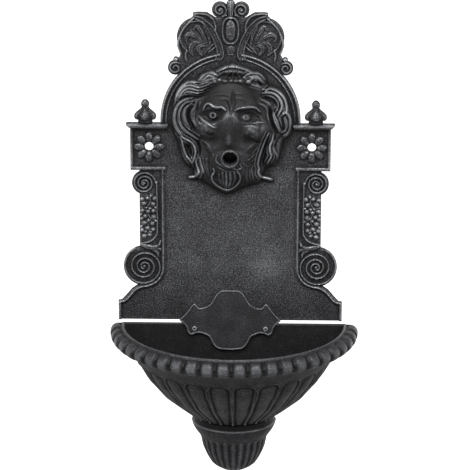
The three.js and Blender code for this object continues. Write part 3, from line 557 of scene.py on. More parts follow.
def carveCrest(relief, p, side):
    base = p["thickness"]
    x, h, radius = p["shell"]
    lift = 4.6
    bead(relief, flip(arcLine(x, h, radius - 5.5, -72, 112, 60), side), 2.4, 3.4, base)
    lines = [
        ([(79, 449), (83.5, 462), (82, 475), (76.5, 488), (69, 498), (59, 507.5)], 3.6, lift, 0.6),
        ([(56, 509), (45, 504), (35, 494), (23, 474), (17.5, 460), (16, 450), (19, 441)], 8.5, 2.0, 0.3),
        ([(55, 506.5), (44, 500), (34, 487), (27, 472), (22.5, 460), (21, 450), (24, 441)], 2.5, lift + 0.4,
         0.6),
        ([(57, 511.5), (46, 508.5), (36, 501), (27, 491), (18.5, 475), (13, 460), (11.5, 447), (15.5, 440)],
         2.5, lift + 0.4, 0.6),
        ([(60, 514.5), (50, 515), (38, 513.5), (29, 507), (24.5, 497), (24, 488)], 2.8, lift - 0.4, 0.6),
    ]
    for points, width, rise, power in lines:
        bead(relief, smoothLine(flip(points, side)), width, rise, base, power)
    swell(relief, side * 50, 470, 22, 24, 2.2, 0, 0.8)
    w = window(relief, [(side * 52, 472)], 27)
    relief["polish"][w] = 0.15
    leaves = [
        ([(33, 467), (35, 480), (40, 492), (44, 502)], (4, 7, 3)),
        ([(39, 468), (46, 484), (53, 494), (59, 489)], (5, 8, 4)),
        ([(43, 467), (54, 477), (64, 482), (71, 478), (71, 471)], (5, 9, 4)),
        ([(46, 465), (57, 468), (63, 461), (63, 452), (60, 448)], (5, 9, 4)),
        ([(42, 463), (50, 462), (51, 455), (46, 448)], (4, 8, 4)),
    ]
    for points, widths in leaves:
        lock(relief, flip(points, side), widths, lift - 0.8, base + 0.8, 2, 0.6, 0.4, sink=0.3, paintedHighlight=-0.05)
    for points in ([(24, 469), (32, 461), (42, 450)], [(24, 462), (30, 456.5), (36, 452)],
                   [(70, 456), (72, 446), (70, 437)]):
        lock(relief, flip(points, side), (2.4, 3.4, 2.2), 2.8, base + 0.8, power=0.6, sink=0.2)
    x, h, radius = p["topScroll"]
    reach = (radius - 1.7) - (radius - 4.6) * np.linspace(0, 1, 71)
    scrollRidge(relief, (x, h), side, 250, 500, reach, 2.9, lift, base)
    lump(relief, side * x, h, 3.4, 3.4, lift - 0.5, base)
    x, h, radius = p["ear"]
    reach = (radius - 1.9) - (radius - 5.0) * np.linspace(0, 1, 61)
    scrollRidge(relief, (x, h), side, 130, 480, reach, 2.7, lift - 0.2, base)
    x, h, radius = p["earBud"]
    lump(relief, side * x, h, radius - 0.5, radius - 0.5, lift - 1.5, base)


def carveCrestCentre(relief, p):
    base = p["thickness"]
    middle = 488  # height of the cabochon's centre
    squareness = 2.6  # a rounded oblong rather than a plain oval
    lump(relief, 0, middle, 8.4, 17.5, 4.4, base, 0, 0.3)
    circle = arcLine(0, 0, 1, 0, 360, 60)
    oblong = np.sign(circle) * np.abs(circle) ** (2 / squareness)
    for halfWidth, halfHeight, width, rise in ((12.6, 21.0, 2.8, 5.6), (3.4, 6.4, 1.8, 5.4)):
        bead(relief, oblong * (halfWidth, halfHeight) + (0, middle), width, rise, base)
    lump(relief, 0, 455.5, 7.4, 7.6, 2.6, base)
    swell(relief, 0, 455, 9, 9, -0.1, 0, 0.5, "rubbedAndPaintedLight")
    lock(relief, [(-4, 448.5), (0, 448), (4, 448.5)], (1.6, 2.4, 1.6), 2.0, base, power=0.6)
    lock(relief, [(0, 509), (0, 522), (0, 536)], (7, 12, 12), 6.4, base, 3, power=0.45)


# The mask. It is drawn as seen from the height of the eye, on a plane 20 mm off the wall, and then set upright.
mask = {"plane": 20.0, "lookDown": 17.0, "maneRise": 21.0, "maneSlope": 24.0, "skullRise": 38.0,
        "muzzleRise": 33.0, "ringOut": 45.0, "ringWidth": 3.8, "polish": 0.12, "sandy": 0.35}
maneEdge = [(-22, 427), (-8, 433), (6, 434.5), (20, 431), (34, 425), (48, 422), (57, 413), (62, 401), (76, 395),
            (88, 385), (93.5, 368), (98, 350), (98.5, 335), (92, 318), (85, 310), (82, 296), (78, 282),
            (68, 272), (58, 265), (52, 256), (50, 246), (43, 239), (32, 236), (20, 231.5), (8, 226), (-5, 221),
            (-18, 226), (-30, 233), (-42, 241), (-52, 246), (-58, 252), (-58, 262), (-66, 268), (-75, 277),
            (-80, 295), (-83, 308), (-89, 320), (-94, 335), (-94, 352), (-92, 368), (-90, 385), (-82, 399),
            (-68, 409), (-56, 411), (-48, 418), (-36, 423.5)]


def carveFace(carving, p):
    out, x, h = carving["out"], carving["x"], carving["h"]
    base = p["thickness"]
    inside = -outlineGap(x, h, smoothLine(maneEdge + maneEdge[:1], 3)[:-1])
    share = np.clip(inside / mask["maneSlope"], 0, 1)
    out[:] = np.where(inside > 0, base + mask["maneRise"] * np.sqrt(1 - (1 - share) ** 2), -9)
    skull = np.clip(1 - (x / 60) ** 2 - ((h - 336) / 84) ** 2, 0, 1)
    muzzle = np.clip(1 - (x / 44) ** 2 - ((h - 282) / 52) ** 2, 0, 1)
    for form in (mask["skullRise"] * skull ** 0.55, mask["muzzleRise"] * muzzle ** 0.5):
        out[:] = np.where(inside > 0, np.maximum(out, base + form), out)
    for side in (-1, 1):
        swell(carving, side * 29, 350, 24, 14, -8, side * -14, 1.2)  # eye socket
        swell(carving, side * 20, 288, 22, 26, 5, side * 12)  # muzzle
        swell(carving, side * 30, 310, 14, 16, -4, side * -38)  # fold beside the nose
    swell(carving, 5, 376, 5, 20, -3)  # furrow of the forehead
    swell(carving, -40, 330, 24, 19, 7.0, -32, 1.3)  # cheek bones
    swell(carving, 43, 326, 23, 21, 7.5, 12, 1.3)
    bridge = smoothLine([(0, 362), (1, 348), (0, 332), (-2, 312), (-2, 296)], 8)
    w, gap, _, share = nearby(carving, bridge, 22)
    half = np.interp(share, [0, 0.3, 0.7, 1], [14, 17, 19, 21])
    rise = np.interp(share, [0, 0.25, 0.6, 1], [0, 5, 4, 0])
    out[w] += rise * dome(gap, half) ** 1.4  # a broad bridge that sinks into the muzzle
    swell(carving, -2, 308, 9, 10, 2.4, 0, 1.2)  # nose tip
    ground = out.copy()
    # brows, with a painted highlight along each
    brows = [([(-43, 359), (-40, 367), (-34, 370), (-27, 365), (-20, 363), (-13, 363.5), (-7, 359)], (4, 8, 7),
              0.34),
             ([(8, 358), (14, 361.5), (24, 363), (34, 364.5), (42, 363), (48, 357)], (4, 7, 4), 0.32)]
    for points, widths, paintedHighlight in brows:
        lock(carving, points, widths, 7.0, ground, power=0.8, sink=2.5, paintedHighlight=paintedHighlight)
    for x0, h0, deep in ((-27.5, 350.5, 1.0), (26, 347.5, 0.3)):
        swell(carving, x0, h0, 9, 7, 5.5, 0, 0.8)
        w, gap, _, _ = nearby(carving, arcLine(x0, h0, 4.5, 0, 360), 2)
        roundness = dome(gap, 1.9)
        out[w] += 2.0 * deep * roundness
        # the eye's ring painted lighter as highlight
        carving["rubbedAndPaintedLight"][w] += 0.17 * deep * roundness
        swell(carving, x0, h0, 3.0, 3.0, -3.0 * deep)
    ground = out.copy()
    # folds of the face: line, widths, rise and the painted highlight along each
    folds = [([(-49, 348), (-43, 343), (-36, 337.5), (-29, 332), (-22, 329)], (8, 7, 3), 3.2, 0.3),
             ([(-42, 357), (-34, 361), (-25, 358), (-16, 354)], (2, 3, 2), 1.2, 0.0),
             ([(37, 337.5), (46, 340), (56, 339)], (3, 5, 2), 3.2, 0.3),
             ([(16, 351), (24, 357), (34, 358), (43, 352)], (2, 3, 2), 1.2, 0.0),
             ([(44, 353), (49, 348), (52, 342)], (2, 4, 2), 1.6, 0.14),
             ([(-18, 376.5), (-10, 378), (-2, 376)], (2, 5, 2), 1.0, 0.16),
             ([(8, 377), (16, 379), (25, 376)], (2, 4, 2), 1.0, 0.1),
             ([(-33, 381), (-22, 385), (-10, 385), (-2, 383)], (2, 4, 2), 1.0, 0.06),
             ([(7, 386), (18, 387), (31, 382)], (2, 4, 2), 1.0, 0.05),
             ([(-46, 309), (-38, 304.5), (-32, 296), (-27, 289)], (2, 2.6, 2), 1.2, 0.12),
             ([(-38, 298), (-31, 291), (-26, 283)], (2, 2.6, 2), 1.0, 0.05),
             ([(38, 303), (31, 297), (25, 290)], (2, 2.6, 2), 1.0, 0.07),
             ([(45, 298), (38, 290), (31, 283)], (2, 2.6, 2), 1.0, 0.04),
             ([(41, 287), (35, 281), (28, 275)], (2, 3, 2), 1.4, 0.12),
             ([(41, 280), (36, 275), (30, 270)], (2, 3, 2), 1.2, 0.06),
             ([(-21, 283), (-22.5, 275), (-17, 269), (-8, 264.5)], (3, 4, 2), 2.6, 0.18),
             ([(-15, 270), (-8, 264), (2, 262.5), (11, 266)], (2, 3, 2), 2.2, 0.1),
             ([(5, 262), (13, 260.5), (19, 264), (15, 270)], (3, 4, 2), 2.4, 0.14),
             ([(-20, 265), (-10, 259), (2, 257.5), (12, 259)], (2, 3, 2), 1.6, 0.03),
             ([(20, 271), (27, 266), (34, 268)], (2, 3, 2), 1.6, 0.06)]
    for points, widths, rise, paintedHighlight in folds:
        lock(carving, points, widths, rise, ground, sink=0.8, paintedHighlight=paintedHighlight)
    creases = [([(-43, 346), (-35, 341.5), (-26, 343), (-17, 347)], 3.4, 1.8),
               ([(20, 334.5), (33, 336.5), (44, 334)], 3.6, 2.2), ([(-6, 375), (-1, 364), (1, 350)], 4.0, 1.8),
               ([(10, 371), (5, 360), (2, 350)], 3.6, 1.6), ([(-38, 322), (-32, 318), (-25, 320)], 5.0, 2.2),
               ([(31, 314), (38, 309), (46, 306)], 5.0, 2.0)]
    for points, width, depth in creases:
        groove(carving, points, width, depth)
        # painted shade along each crease
        rubAndPaintLight(carving, points, width, -0.1)
    cheekKnobs = [(-47, 338, 4.5, 6), (-40, 333, 4, 5), (-46, 328, 4, 5), (-38, 327, 3.5, 4), (-47, 320, 4, 4),
                  (37, 333, 5, 3.5), (32, 327, 4, 3.5), (27, 320, 3.5, 4), (44, 331, 4.5, 4), (51, 326, 4.5, 6),
                  (38, 323, 4, 4), (45, 319, 5, 5), (36, 315, 3.5, 3.5)]
    for x0, h0, halfWidth, halfHeight in cheekKnobs:  # uneven cheeks, each knob painted lighter as highlight
        swell(carving, x0, h0, halfWidth * 1.2, halfHeight * 1.2, 0.9, 0, 1.4)
        swell(carving, x0, h0, halfWidth, halfHeight, 0.08, 0, 1.0, "rubbedAndPaintedLight")
    # patches painted as light and shade: x, h, half width, half height and amount; the forehead and muzzle
    # darker as shade, the spots between the eyes and on the cheeks lighter as highlight
    paintedLightPatches = [(0, 387, 50, 22, -0.3), (0, 308, 34, 42, -0.16), (-44, 332, 10, 16, 0.04), (43, 326, 15, 14, 0.02),
             (-24, 295, 3, 4, 0.12), (-7, 347, 5, 10, 0.2), (9, 347, 5, 11, 0.19), (0, 335, 8, 14, 0.08),
             (-20, 332, 6, 14, -0.05), (19, 332, 6, 14, -0.05)]
    for x0, h0, halfWidth, halfHeight, amount in paintedLightPatches:
        swell(carving, x0, h0, halfWidth, halfHeight, amount, 0, 0.5, "rubbedAndPaintedLight")
    # painted highlights on the nose tip
    rubAndPaintLight(carving, [(-2, 319), (-2, 311), (-2, 303)], 8, 0.24)
    rubAndPaintLight(carving, [(-8, 304), (-2, 306), (5, 304)], 7, 0.16)


# Mane and beard, lock by lock: line, widths at root, middle and tip, rise, number of strands and the painted
# highlight along its crest
maneLocks = [
    # the left side, from the crown down
    ([(-20, 417), (-28, 421), (-36, 423), (-44, 417), (-51, 409)], (4, 7, 4), 6, 1, 0.3),
    ([(-22, 411), (-33, 410), (-43, 405), (-50, 398)], (4, 7, 3), 4, 2, 0.08),
    ([(-48, 405), (-60, 406), (-70, 404.5), (-79, 397), (-85, 387), (-88, 375)], (3, 6, 5), 7, 0, 0.34),
    ([(-33, 402), (-42, 398.5), (-52, 397), (-62, 400), (-72, 399), (-80, 391), (-84, 381)],
     (3, 5, 4), 6.5, 0, 0.28),
    ([(-37, 396), (-48, 391.5), (-58, 393.5), (-68, 394.5), (-77, 388.5), (-82, 379)], (3, 5, 4), 6, 0, 0.28),
    ([(-42, 389.5), (-52, 387), (-61, 388.5), (-70, 389), (-78, 382)], (3, 5, 3), 5.5, 0, 0.14),
    ([(-60, 380), (-74, 376), (-84, 367), (-89.5, 354), (-90, 340), (-86, 328), (-78, 317)],
     (4, 8, 6), 8, 1, 0.28),
    ([(-60, 374), (-72, 371), (-80, 360), (-82.5, 346), (-79, 334), (-72, 325), (-62, 318), (-52, 311)],
     (4, 7, 4), 8, 1, 0.12),
    ([(-62, 370), (-70, 362), (-74, 351), (-71, 340), (-64, 331)], (5, 11, 4), 8, 2, 0.14),
    ([(-54, 373), (-58, 360), (-59, 346), (-55, 333)], (4, 8, 4), 4, 1, 0.0),
    ([(-79, 315), (-72, 311.5), (-63, 306), (-57, 298), (-55.5, 289), (-58, 279), (-61, 271.5)],
     (5, 5.5, 4), 8, 0, 0.34),
    ([(-80, 315), (-77, 304), (-74, 293), (-70, 283), (-64, 275), (-61, 271)], (5, 6, 4), 7.5, 0, 0.28),
    ([(-67, 303), (-66, 292), (-64, 281)], (2, 4, 2), 1.5, 0, 0.05),
    ([(-56, 280), (-54, 268), (-51, 258), (-53, 251.5), (-59, 249), (-65, 248.5)], (3, 7, 6), 8, 0, 0.4),
    ([(-48, 280), (-46.5, 269), (-43.5, 260), (-42, 253)], (3, 5, 2), 5, 0, 0.28),
    ([(-38, 278), (-37, 262), (-34, 249)], (4, 7, 4), 3, 2, 0.0),
    # the right side
    ([(20, 413), (28, 419), (38, 422), (47, 420.5), (55, 411)], (3, 6, 4), 7, 0, 0.3),
    ([(29, 407), (37, 413.5), (45, 413.5), (53, 405)], (5, 9, 5), 5, 2, 0.14),
    ([(32, 402), (42, 399), (53, 396)], (3, 5, 3), 2, 0, 0.0),
    ([(56, 391), (63, 396), (73, 393.5), (82, 387), (88.5, 376), (91, 364), (90, 355)], (4, 7, 5), 8, 0, 0.36),
    ([(52, 388), (64, 389), (74, 385), (81, 375), (83, 365), (79, 356), (76, 350)], (5, 7, 4), 8, 0, 0.28),
    ([(53, 384), (64, 383), (72, 378), (77, 369), (75, 359)], (4, 6, 3), 6, 0, 0.05),
    ([(50, 377), (59, 373), (66, 364), (68, 353)], (4, 9, 4), 5, 2, 0.0),
    ([(68, 358), (71, 347), (75, 338), (80, 325)], (4, 11, 5), 7, 1, 0.3),
    ([(76, 352), (80, 343), (83, 333)], (3, 5, 3), 5, 0, 0.08),
    ([(82, 351), (88, 356), (94, 352), (97.5, 342), (97, 331), (93, 322), (87, 318)], (4, 8, 6), 8.5, 1, 0.36),
    ([(85, 348), (88, 340), (91, 331)], (3, 5, 3), 6, 0, 0.08),
    ([(87, 317), (81, 308), (78, 297), (80, 285)], (5, 10, 5), 4, 2, 0.0),
    ([(70, 321), (67.5, 310), (64, 300), (64.5, 290), (66, 283), (60, 272)], (4, 6, 4), 8, 0, 0.36),
    ([(70, 303), (71, 294), (76, 285), (75, 278), (69, 271)], (3, 6, 4), 6, 1, 0.16),
    ([(62, 322), (56, 308), (51, 294), (47, 281), (45, 270), (47, 262), (46, 254), (50, 249), (58, 247),
      (66, 245)], (4, 6, 7), 8, 0, 0.16),
    ([(38, 269), (35, 261), (37, 251), (38, 243)], (3, 5, 3), 2.5, 0, 0.1),
    ([(28, 263), (26, 252), (27, 242)], (4, 7, 4), 2.5, 1, 0.03),
]
# hollows between the locks, also painted dark as shade: line, width and depth
hollows = [([(-40, 385), (-56, 381), (-72, 381), (-84, 374)], 7, 6),
           ([(-64, 370), (-67, 352), (-63, 336), (-54, 322)], 8, 8),
           ([(-51, 368), (-52, 352), (-50, 340)], 5, 4), ([(-53, 308), (-50, 296), (-51, 283)], 7, 7),
           ([(50, 383), (60, 379.5), (69, 374.5), (75, 365)], 8, 8),
           ([(65, 368), (65, 352), (68, 336), (74, 320)], 7, 8),
           ([(61, 313), (57, 298), (53, 283), (49, 266)], 8, 8), ([(83, 350), (85, 339), (86, 326)], 5, 5),
           ([(-68, 306), (-66, 292), (-64, 279)], 15, 11), ([(34, 405), (43, 405.5), (53, 401)], 6, 7),
           ([(-86, 366), (-84, 350), (-82, 334)], 3, 2), ([(72, 318), (73, 306), (70, 297)], 4, 4)]
# small curls of the forelock, under the crown tuft: x, h, size and painted highlight
curls = [(-17, 409, 4.5, 0.1), (-8, 406, 5, -0.08), (1, 407, 4.5, -0.02), (9, 407, 4.5, -0.02),
         (16.5, 407, 5, 0.16), (23, 413, 4, 0.24), (-25, 406, 4.5, 0.06), (29, 406, 5, 0.0)]


def beside(points, gap):  # the same line, set off to one side
    line = np.asarray(points, float)
    run = np.gradient(line, axis=0)
    run /= np.hypot(run[:, 0], run[:, 1])[:, None]
    return line + gap * np.stack([-run[:, 1], run[:, 0]], 1)


def carveMane(carving, p):
    out = carving["out"]
    for points, width, depth in hollows:
        groove(carving, points, width * 1.2, depth * 0.7)
        # painted shade along the hollow
        rubAndPaintLight(carving, points, width, -0.06)
    ground = np.maximum(out, p["thickness"])
    inside = out > p["thickness"] + 2
    for points, widths, rise, strands, paintedHighlight in maneLocks:  # finer strands keep each lock company
        for gap in (-0.85 * widths[1], 0.85 * widths[1]):
            lock(carving, beside(points, gap), np.multiply(widths, 0.75), rise * 0.5, ground, sink=0.5,
                 paintedHighlight=paintedHighlight * 0.25)
    out[:] = np.where(inside, out, np.minimum(out, ground))
    for points, widths, rise, strands, paintedHighlight in maneLocks:
        lock(carving, points, np.multiply(widths, 1.15), rise * 0.85, ground, strands + 1, sink=1.5,
             paintedHighlight=paintedHighlight)
    for foot in ([(-53, 263), (-51, 255), (-57, 249.5), (-66, 248)],
                 [(47, 265), (46, 256), (51, 249.5), (59, 247.5), (67, 245.5)]):
        lock(carving, foot, (5, 9, 7), 7.5, ground, sink=1.5, paintedHighlight=0.26)
    swell(carving, 3, 415, 28, 8, -8, 0, 1.2)
    # the hollow under the crown tuft painted darker as shade
    swell(carving, 3, 415, 26, 8, -0.14, 0, 0.7, "rubbedAndPaintedLight")
    for x, h, half, paintedHighlight in curls:
        lump(carving, x, h, half, half * 0.85, 4.0, heightAt(carving, x, h) - 1.5)
        # the painted highlight of each curl, painted shade where negative
        swell(carving, x, h, half * 0.7, half * 0.6, paintedHighlight, 0, 0.7, "rubbedAndPaintedLight")
    # fringe, crown, tuft and shell locks each carry a painted highlight along the crest
    fringe = [([(-2, 422), (-6, 415), (-12, 409)], 0.0), ([(5, 424), (4.5, 416), (4, 409)], 0.16),
              ([(10, 423), (14, 415), (19, 410)], 0.04), ([(-10, 424), (-16, 418), (-24, 413)], 0.0)]
    for points, paintedHighlight in fringe:
        lock(carving, points, (3, 5, 3), 2.6, out.copy(), paintedHighlight=paintedHighlight)
    crown = [(-21, 424), (-13, 428), (-5, 432), (5, 433), (15, 431), (25, 427.5), (34, 423.5)]
    lock(carving, crown, (5, 9, 5), 9, ground, 3, 0.25, 0.5, sink=2.0, paintedHighlight=0.34)
    ground = out.copy()
    tuft = [([(-18, 252), (-17, 243), (-12, 234)], 0.0), ([(-12, 255), (-11.5, 243), (-9, 232)], 0.08),
            ([(-6, 256), (-6, 243), (-6, 230)], 0.22), ([(0, 256), (1, 243), (-2, 231)], 0.2),
            ([(7, 255), (8, 244), (3, 233)], 0.04)]
    for points, paintedHighlight in tuft:
        lock(carving, points, (5, 7, 4), 3.2, ground, sink=0.8, paintedHighlight=paintedHighlight)
    shell = [(-27, 262), (-25.5, 256), (-29.5, 249), (-28, 241), (-22, 234), (-14, 229), (-5, 226), (4, 229),
             (11, 235), (16, 243), (16, 251), (12, 257)]
    lock(carving, shell, (4, 5, 4), 5.0, ground, power=0.6, paintedHighlight=0.16)
    # painted highlights on the chin's shell and tuft
    rubAndPaintLight(carving, [(-27, 263), (-26, 257), (-30, 249)], 5, 0.18)
    swell(carving, -3, 241, 8, 12, 0.1, 0, 0.7, "rubbedAndPaintedLight")


def setUpright(carving):  # what stands further out was seen lower than it is
    lift = (carving["out"] - mask["plane"]) * math.tan(math.radians(mask["lookDown"]))
    seen = np.maximum.accumulate(carving["h"] + lift, axis=1)
    for layer in ("rubbedAndPaintedLight", "out"):
        carving[layer] = np.array([np.interp(carving["hs"], *pair) for pair in zip(seen, carving[layer])])


def carveSpout(relief, p):  # the round spout in the mouth, its blind socket and the socket's floor
    x, h, radius = p["mouth"]
    gap = circleGap(relief["x"], relief["h"], x, h, 0)
    ring = dome(gap - radius - 1.8, 2.2) ** 0.5
    out = relief["out"]
    out[:] = np.where(gap < radius + mask["ringWidth"], mask["ringOut"] - 3.0 + 3.0 * ring, out)
    out[:] = np.where(gap < radius, p["socketFloor"], out)
    # the ring round the mouth painted darker as shade
    relief["rubbedAndPaintedLight"][gap < radius + 4.5] = -0.22
    relief["rubbedAndPaintedLight"][gap < radius] = 0.05


def carveLion(relief, p):
    w = window(relief, maneEdge, 12)
    carving = {key: relief[key][w].copy() for key in ("x", "h", "out", "rubbedAndPaintedLight")}
    carving.update(xs=relief["xs"][w[0]], hs=relief["hs"][w[1]], step=relief["step"])
    carveFace(carving, p)
    carveMane(carving, p)
    setUpright(carving)
    proud = carving["out"] > relief["out"][w]
    for layer, value in (("polish", mask["polish"]), ("sandy", mask["sandy"]),
                         ("rubbedAndPaintedLight", carving["rubbedAndPaintedLight"] - 0.05)):
        relief[layer][w] = np.where(proud, value, relief[layer][w])
    relief["out"][w] = np.maximum(relief["out"][w], carving["out"])
    carveSpout(relief, p)


def uneven(relief, depth):  # the slight waves of a sand-cast plate, about 12 mm apart
    noise = np.random.default_rng(7).standard_normal(relief["out"].shape)
    noise = blurred(noise, 3.2, relief["step"])
    return np.clip(depth * noise / noise.std(), -2 * depth, 2 * depth)


def carvePlate(p):
    relief = newRelief(*p["grid"], p["step"])
    relief["out"][:] = p["thickness"] + uneven(relief, p["uneven"])
    carveArch(relief, p)
    for side in (-1, 1):
        carveStrip(relief, p, side)
        carveBerries(relief, p, side)
        carveCorner(relief, p, side)
        carveFinial(relief, p, side)
        carveCrest(relief, p, side)
    carveCrestCentre(relief, p)
    carveLion(relief, p)
    x, h = relief["x"], relief["h"]
    # tones of the flat field: darker at its foot and its top, within the mouldings beside it
    limit = np.interp(np.abs(x), [106, 110, 115, 123, 134, 146, 156, 164, 172, 181],
                      [262, 84, 73, 64, 59, 57, 51, 42, 33, 31])
    field = 0.17 * np.clip((h - 15) / 70, 0, 1) - 0.035 - 0.055 * np.clip((h - 120) / 60, 0, 1)
    field = np.clip((limit - h) / 4, 0, 1) * field - 0.015
    field += 0.08 * (h > 262) * (circleGap(x, h, *p["arch"]) < -12)
    # soft patches painted lighter as sheen
    for x0, h0, width, height, amount in p["sheen"]:
        field += amount * np.exp(-((x - x0) / width) ** 2 - ((h - h0) / height) ** 2)
    relief["rubbedAndPaintedLight"] += np.where(relief["sandy"] < 1, 0, field)
    return relief


def plateBack(p, relief):  # hollow behind the mask, with a thick floor under the spout's socket
    x, h, halfWidth, halfHeight, depth = p["hollow"]
    share = np.clip(1 - ((relief["x"] - x) / halfWidth) ** 2 - ((relief["h"] - h) / halfHeight) ** 2, 0, 1)
    back = np.minimum(depth * np.sqrt(share), np.maximum(blurred(relief["out"], 4, p["step"]) - p["hollowWall"],
                                                         0))
    back = np.minimum(back, relief["out"] - p["leastWall"])
    socketGap = circleGap(relief["x"], relief["h"], *p["mouth"][:2], p["socketRadius"])
    return np.maximum(np.where(socketGap < 0, np.minimum(back, p["socketBack"]), back), 0)


relief = carvePlate(plate)
gap = plateGap(plate, relief["x"], relief["h"])
back = plateBack(plate, relief)
roundEdge(relief, gap, 2.2, 1.8)
backPlate = castRelief("backPlateCasting", relief, gap, back, plate["triangles"])
finish(backPlate, plateIron, 50)


# The joining plate
cover = {"step": 0.7, "grid": (-85.4, 85.4, -53.2, 55.3), "back": 6.3, "thickness": 4.0, "rimWidth": 2.6,
         "rimRise": 0.9, "screw": (58.5, -12.5, 2.9), "seatRadius": 7.0, "rubbedAndPaintedLight": 0.03, "sandy": 0.45,
         "triangles": 60000}
coverEdge = [(0, 53), (12, 53), (18, 50.5), (24, 44), (28, 37), (32, 30), (38, 25.5), (45, 22.5), (52, 23),
             (57.5, 29.5), (62, 27.5), (66, 22), (70, 16.5), (76, 9), (83, 1.5), (77, -5), (72, -12),
             (70.5, -18), (68, -22.5), (63, -25), (57, -22.5), (50, -21.5), (43, -23.5), (36, -27), (32, -33),
             (28, -41), (23, -46.5), (16, -49.5), (0, -51)]


def coverGap(p, x, h):
    line = smoothLine(coverEdge, 4)
    gap = outlineGap(np.abs(x), h, np.vstack([line, [(-30, -51), (-30, 53)]]))
    return np.maximum(gap, -circleGap(np.abs(x), h, *p["screw"]))


coverRelief = newRelief(*cover["grid"], cover["step"])
gap = coverGap(cover, coverRelief["x"], coverRelief["h"])
rimShape = dome(gap + 1.5, cover["rimWidth"] / 2) ** 0.6
seatGap = circleGap(np.abs(coverRelief["x"]), coverRelief["h"], *cover["screw"][:2], cover["seatRadius"])
coverRelief["out"] = cover["back"] + cover["thickness"] + np.where(seatGap < 0, 0, cover["rimRise"] * rimShape)
roundEdge(coverRelief, gap, 1.2, 0.9)
coverRelief["rubbedAndPaintedLight"] += cover["rubbedAndPaintedLight"]
coverRelief["sandy"][:] = cover["sandy"]
back = np.full(gap.shape, cover["back"])
joiningPlate = castRelief("joiningPlateCasting", coverRelief, gap, back, cover["triangles"])
finish(joiningPlate, plateIron, 50)


# Basin and cup: half rounds on the wall, from a profile that runs up the outside and down the inside
def halfRound(name, outer, inner, wall, steps, shift, vary):
    outer, inner = np.asarray(outer, float), np.asarray(inner, float)
    turn = np.linspace(0, math.pi, steps + 1)[:, None]
    radius, height, wearAndPaintedLight = vary(turn, outer)
    points = [place(shift + radius * np.cos(turn), height, radius * np.sin(turn))]
    start = np.arcsin(np.clip(wall / np.maximum(inner[:, 0], wall), 0, 1))[None]
    inside = start + (math.pi - 2 * start) * np.linspace(0, 1, steps + 1)[:, None]
    points.append(place(shift + inner[:, 0] * np.cos(inside), np.broadcast_to(inner[:, 1], inside.shape),
                        inner[:, 0] * np.sin(inside)))
    points = np.concatenate(points, 1)
    rows, columns = points.shape[:2]
    wearsAndPaintedLight = np.concatenate([wearAndPaintedLight, np.full((rows, len(inner)), wearOf["inside"])], 1)
    wearsAndPaintedLight[[0, -1]] = wearOf["back"]
    i, k = np.meshgrid(np.arange(rows), np.arange(columns - 1), indexing="ij")
    after = (i + 1) % rows
    faces = np.stack([i * columns + k, after * columns + k, after * columns + k + 1, i * columns + k + 1], -1)
    piece = newMesh(name, points.reshape(-1, 3), faces.reshape(-1, 4))
    writeWearAndPaintedLight(piece, wearsAndPaintedLight.ravel(), np.ones(wearsAndPaintedLight.size))
    return piece


def closeUp(piece):  # poles merged, faces turned outwards
    work = bmesh.new()
    work.from_mesh(piece.data)
    bmesh.ops.remove_doubles(work, verts=work.verts, dist=0.00002)
    bmesh.ops.dissolve_degenerate(work, edges=work.edges, dist=0.000005)
    bmesh.ops.recalc_face_normals(work, faces=work.faces)
    work.to_mesh(piece.data)
    work.free()


# Radii and heights: the rim starts at rimRadius, the tongues run from tongueTop down to tongueFoot
basin = {"shift": 6.5, "wall": 6.0, "steps": 380, "lobes": 24, "lobeDepth": 4.2, "rimRadius": 187.0,
         "rimMiddle": -20.5, "tongues": 12, "tongueRise": 2.0, "tongueTop": 167.0, "crownRadius": 160.0,
         "tongueFoot": 70.0, "beadRadius": 3.2, "beadRise": 2.0}
outerLine = [(0, -170.5), (40, -170.5), (52, -170.5), (55, -170), (58, -168), (72, -158), (88.5, -145),
             (103, -133), (117, -121), (127, -109), (137, -97), (146, -86), (158, -66), (167, -56), (176, -44),
             (182, -37), (184.5, -34), (187, -34.6), (192, -34.6), (198, -31.5), (202.5, -26.5), (204, -21),
             (202.8, -15.5), (199, -10.6), (193.5, -7.9), (189.6, -8), (187.4, -9.8), (185.8, -9.6),
             (185, -7.4), (183.8, -6.5), (182, -6.5)]
innerLine = [(180.3, -7.6), (179.2, -12), (176, -25), (170, -41), (160, -54), (150, -68), (138, -86),
             (120, -108), (100, -128), (78, -145), (55, -158), (40, -162), (20, -163), (6, -163)]


def runOf(line):  # the way along a line to each of its points
    return np.concatenate([[0], np.cumsum(np.hypot(*np.diff(line, axis=0).T))])


def resampled(points, spacing):
    line = smoothLine(points, 8)
    run = runOf(line)
    count = int(run[-1] / spacing) + 1
    at = np.linspace(0, run[-1], count)
    return np.stack([np.interp(at, run, line[:, 0]), np.interp(at, run, line[:, 1])], 1)


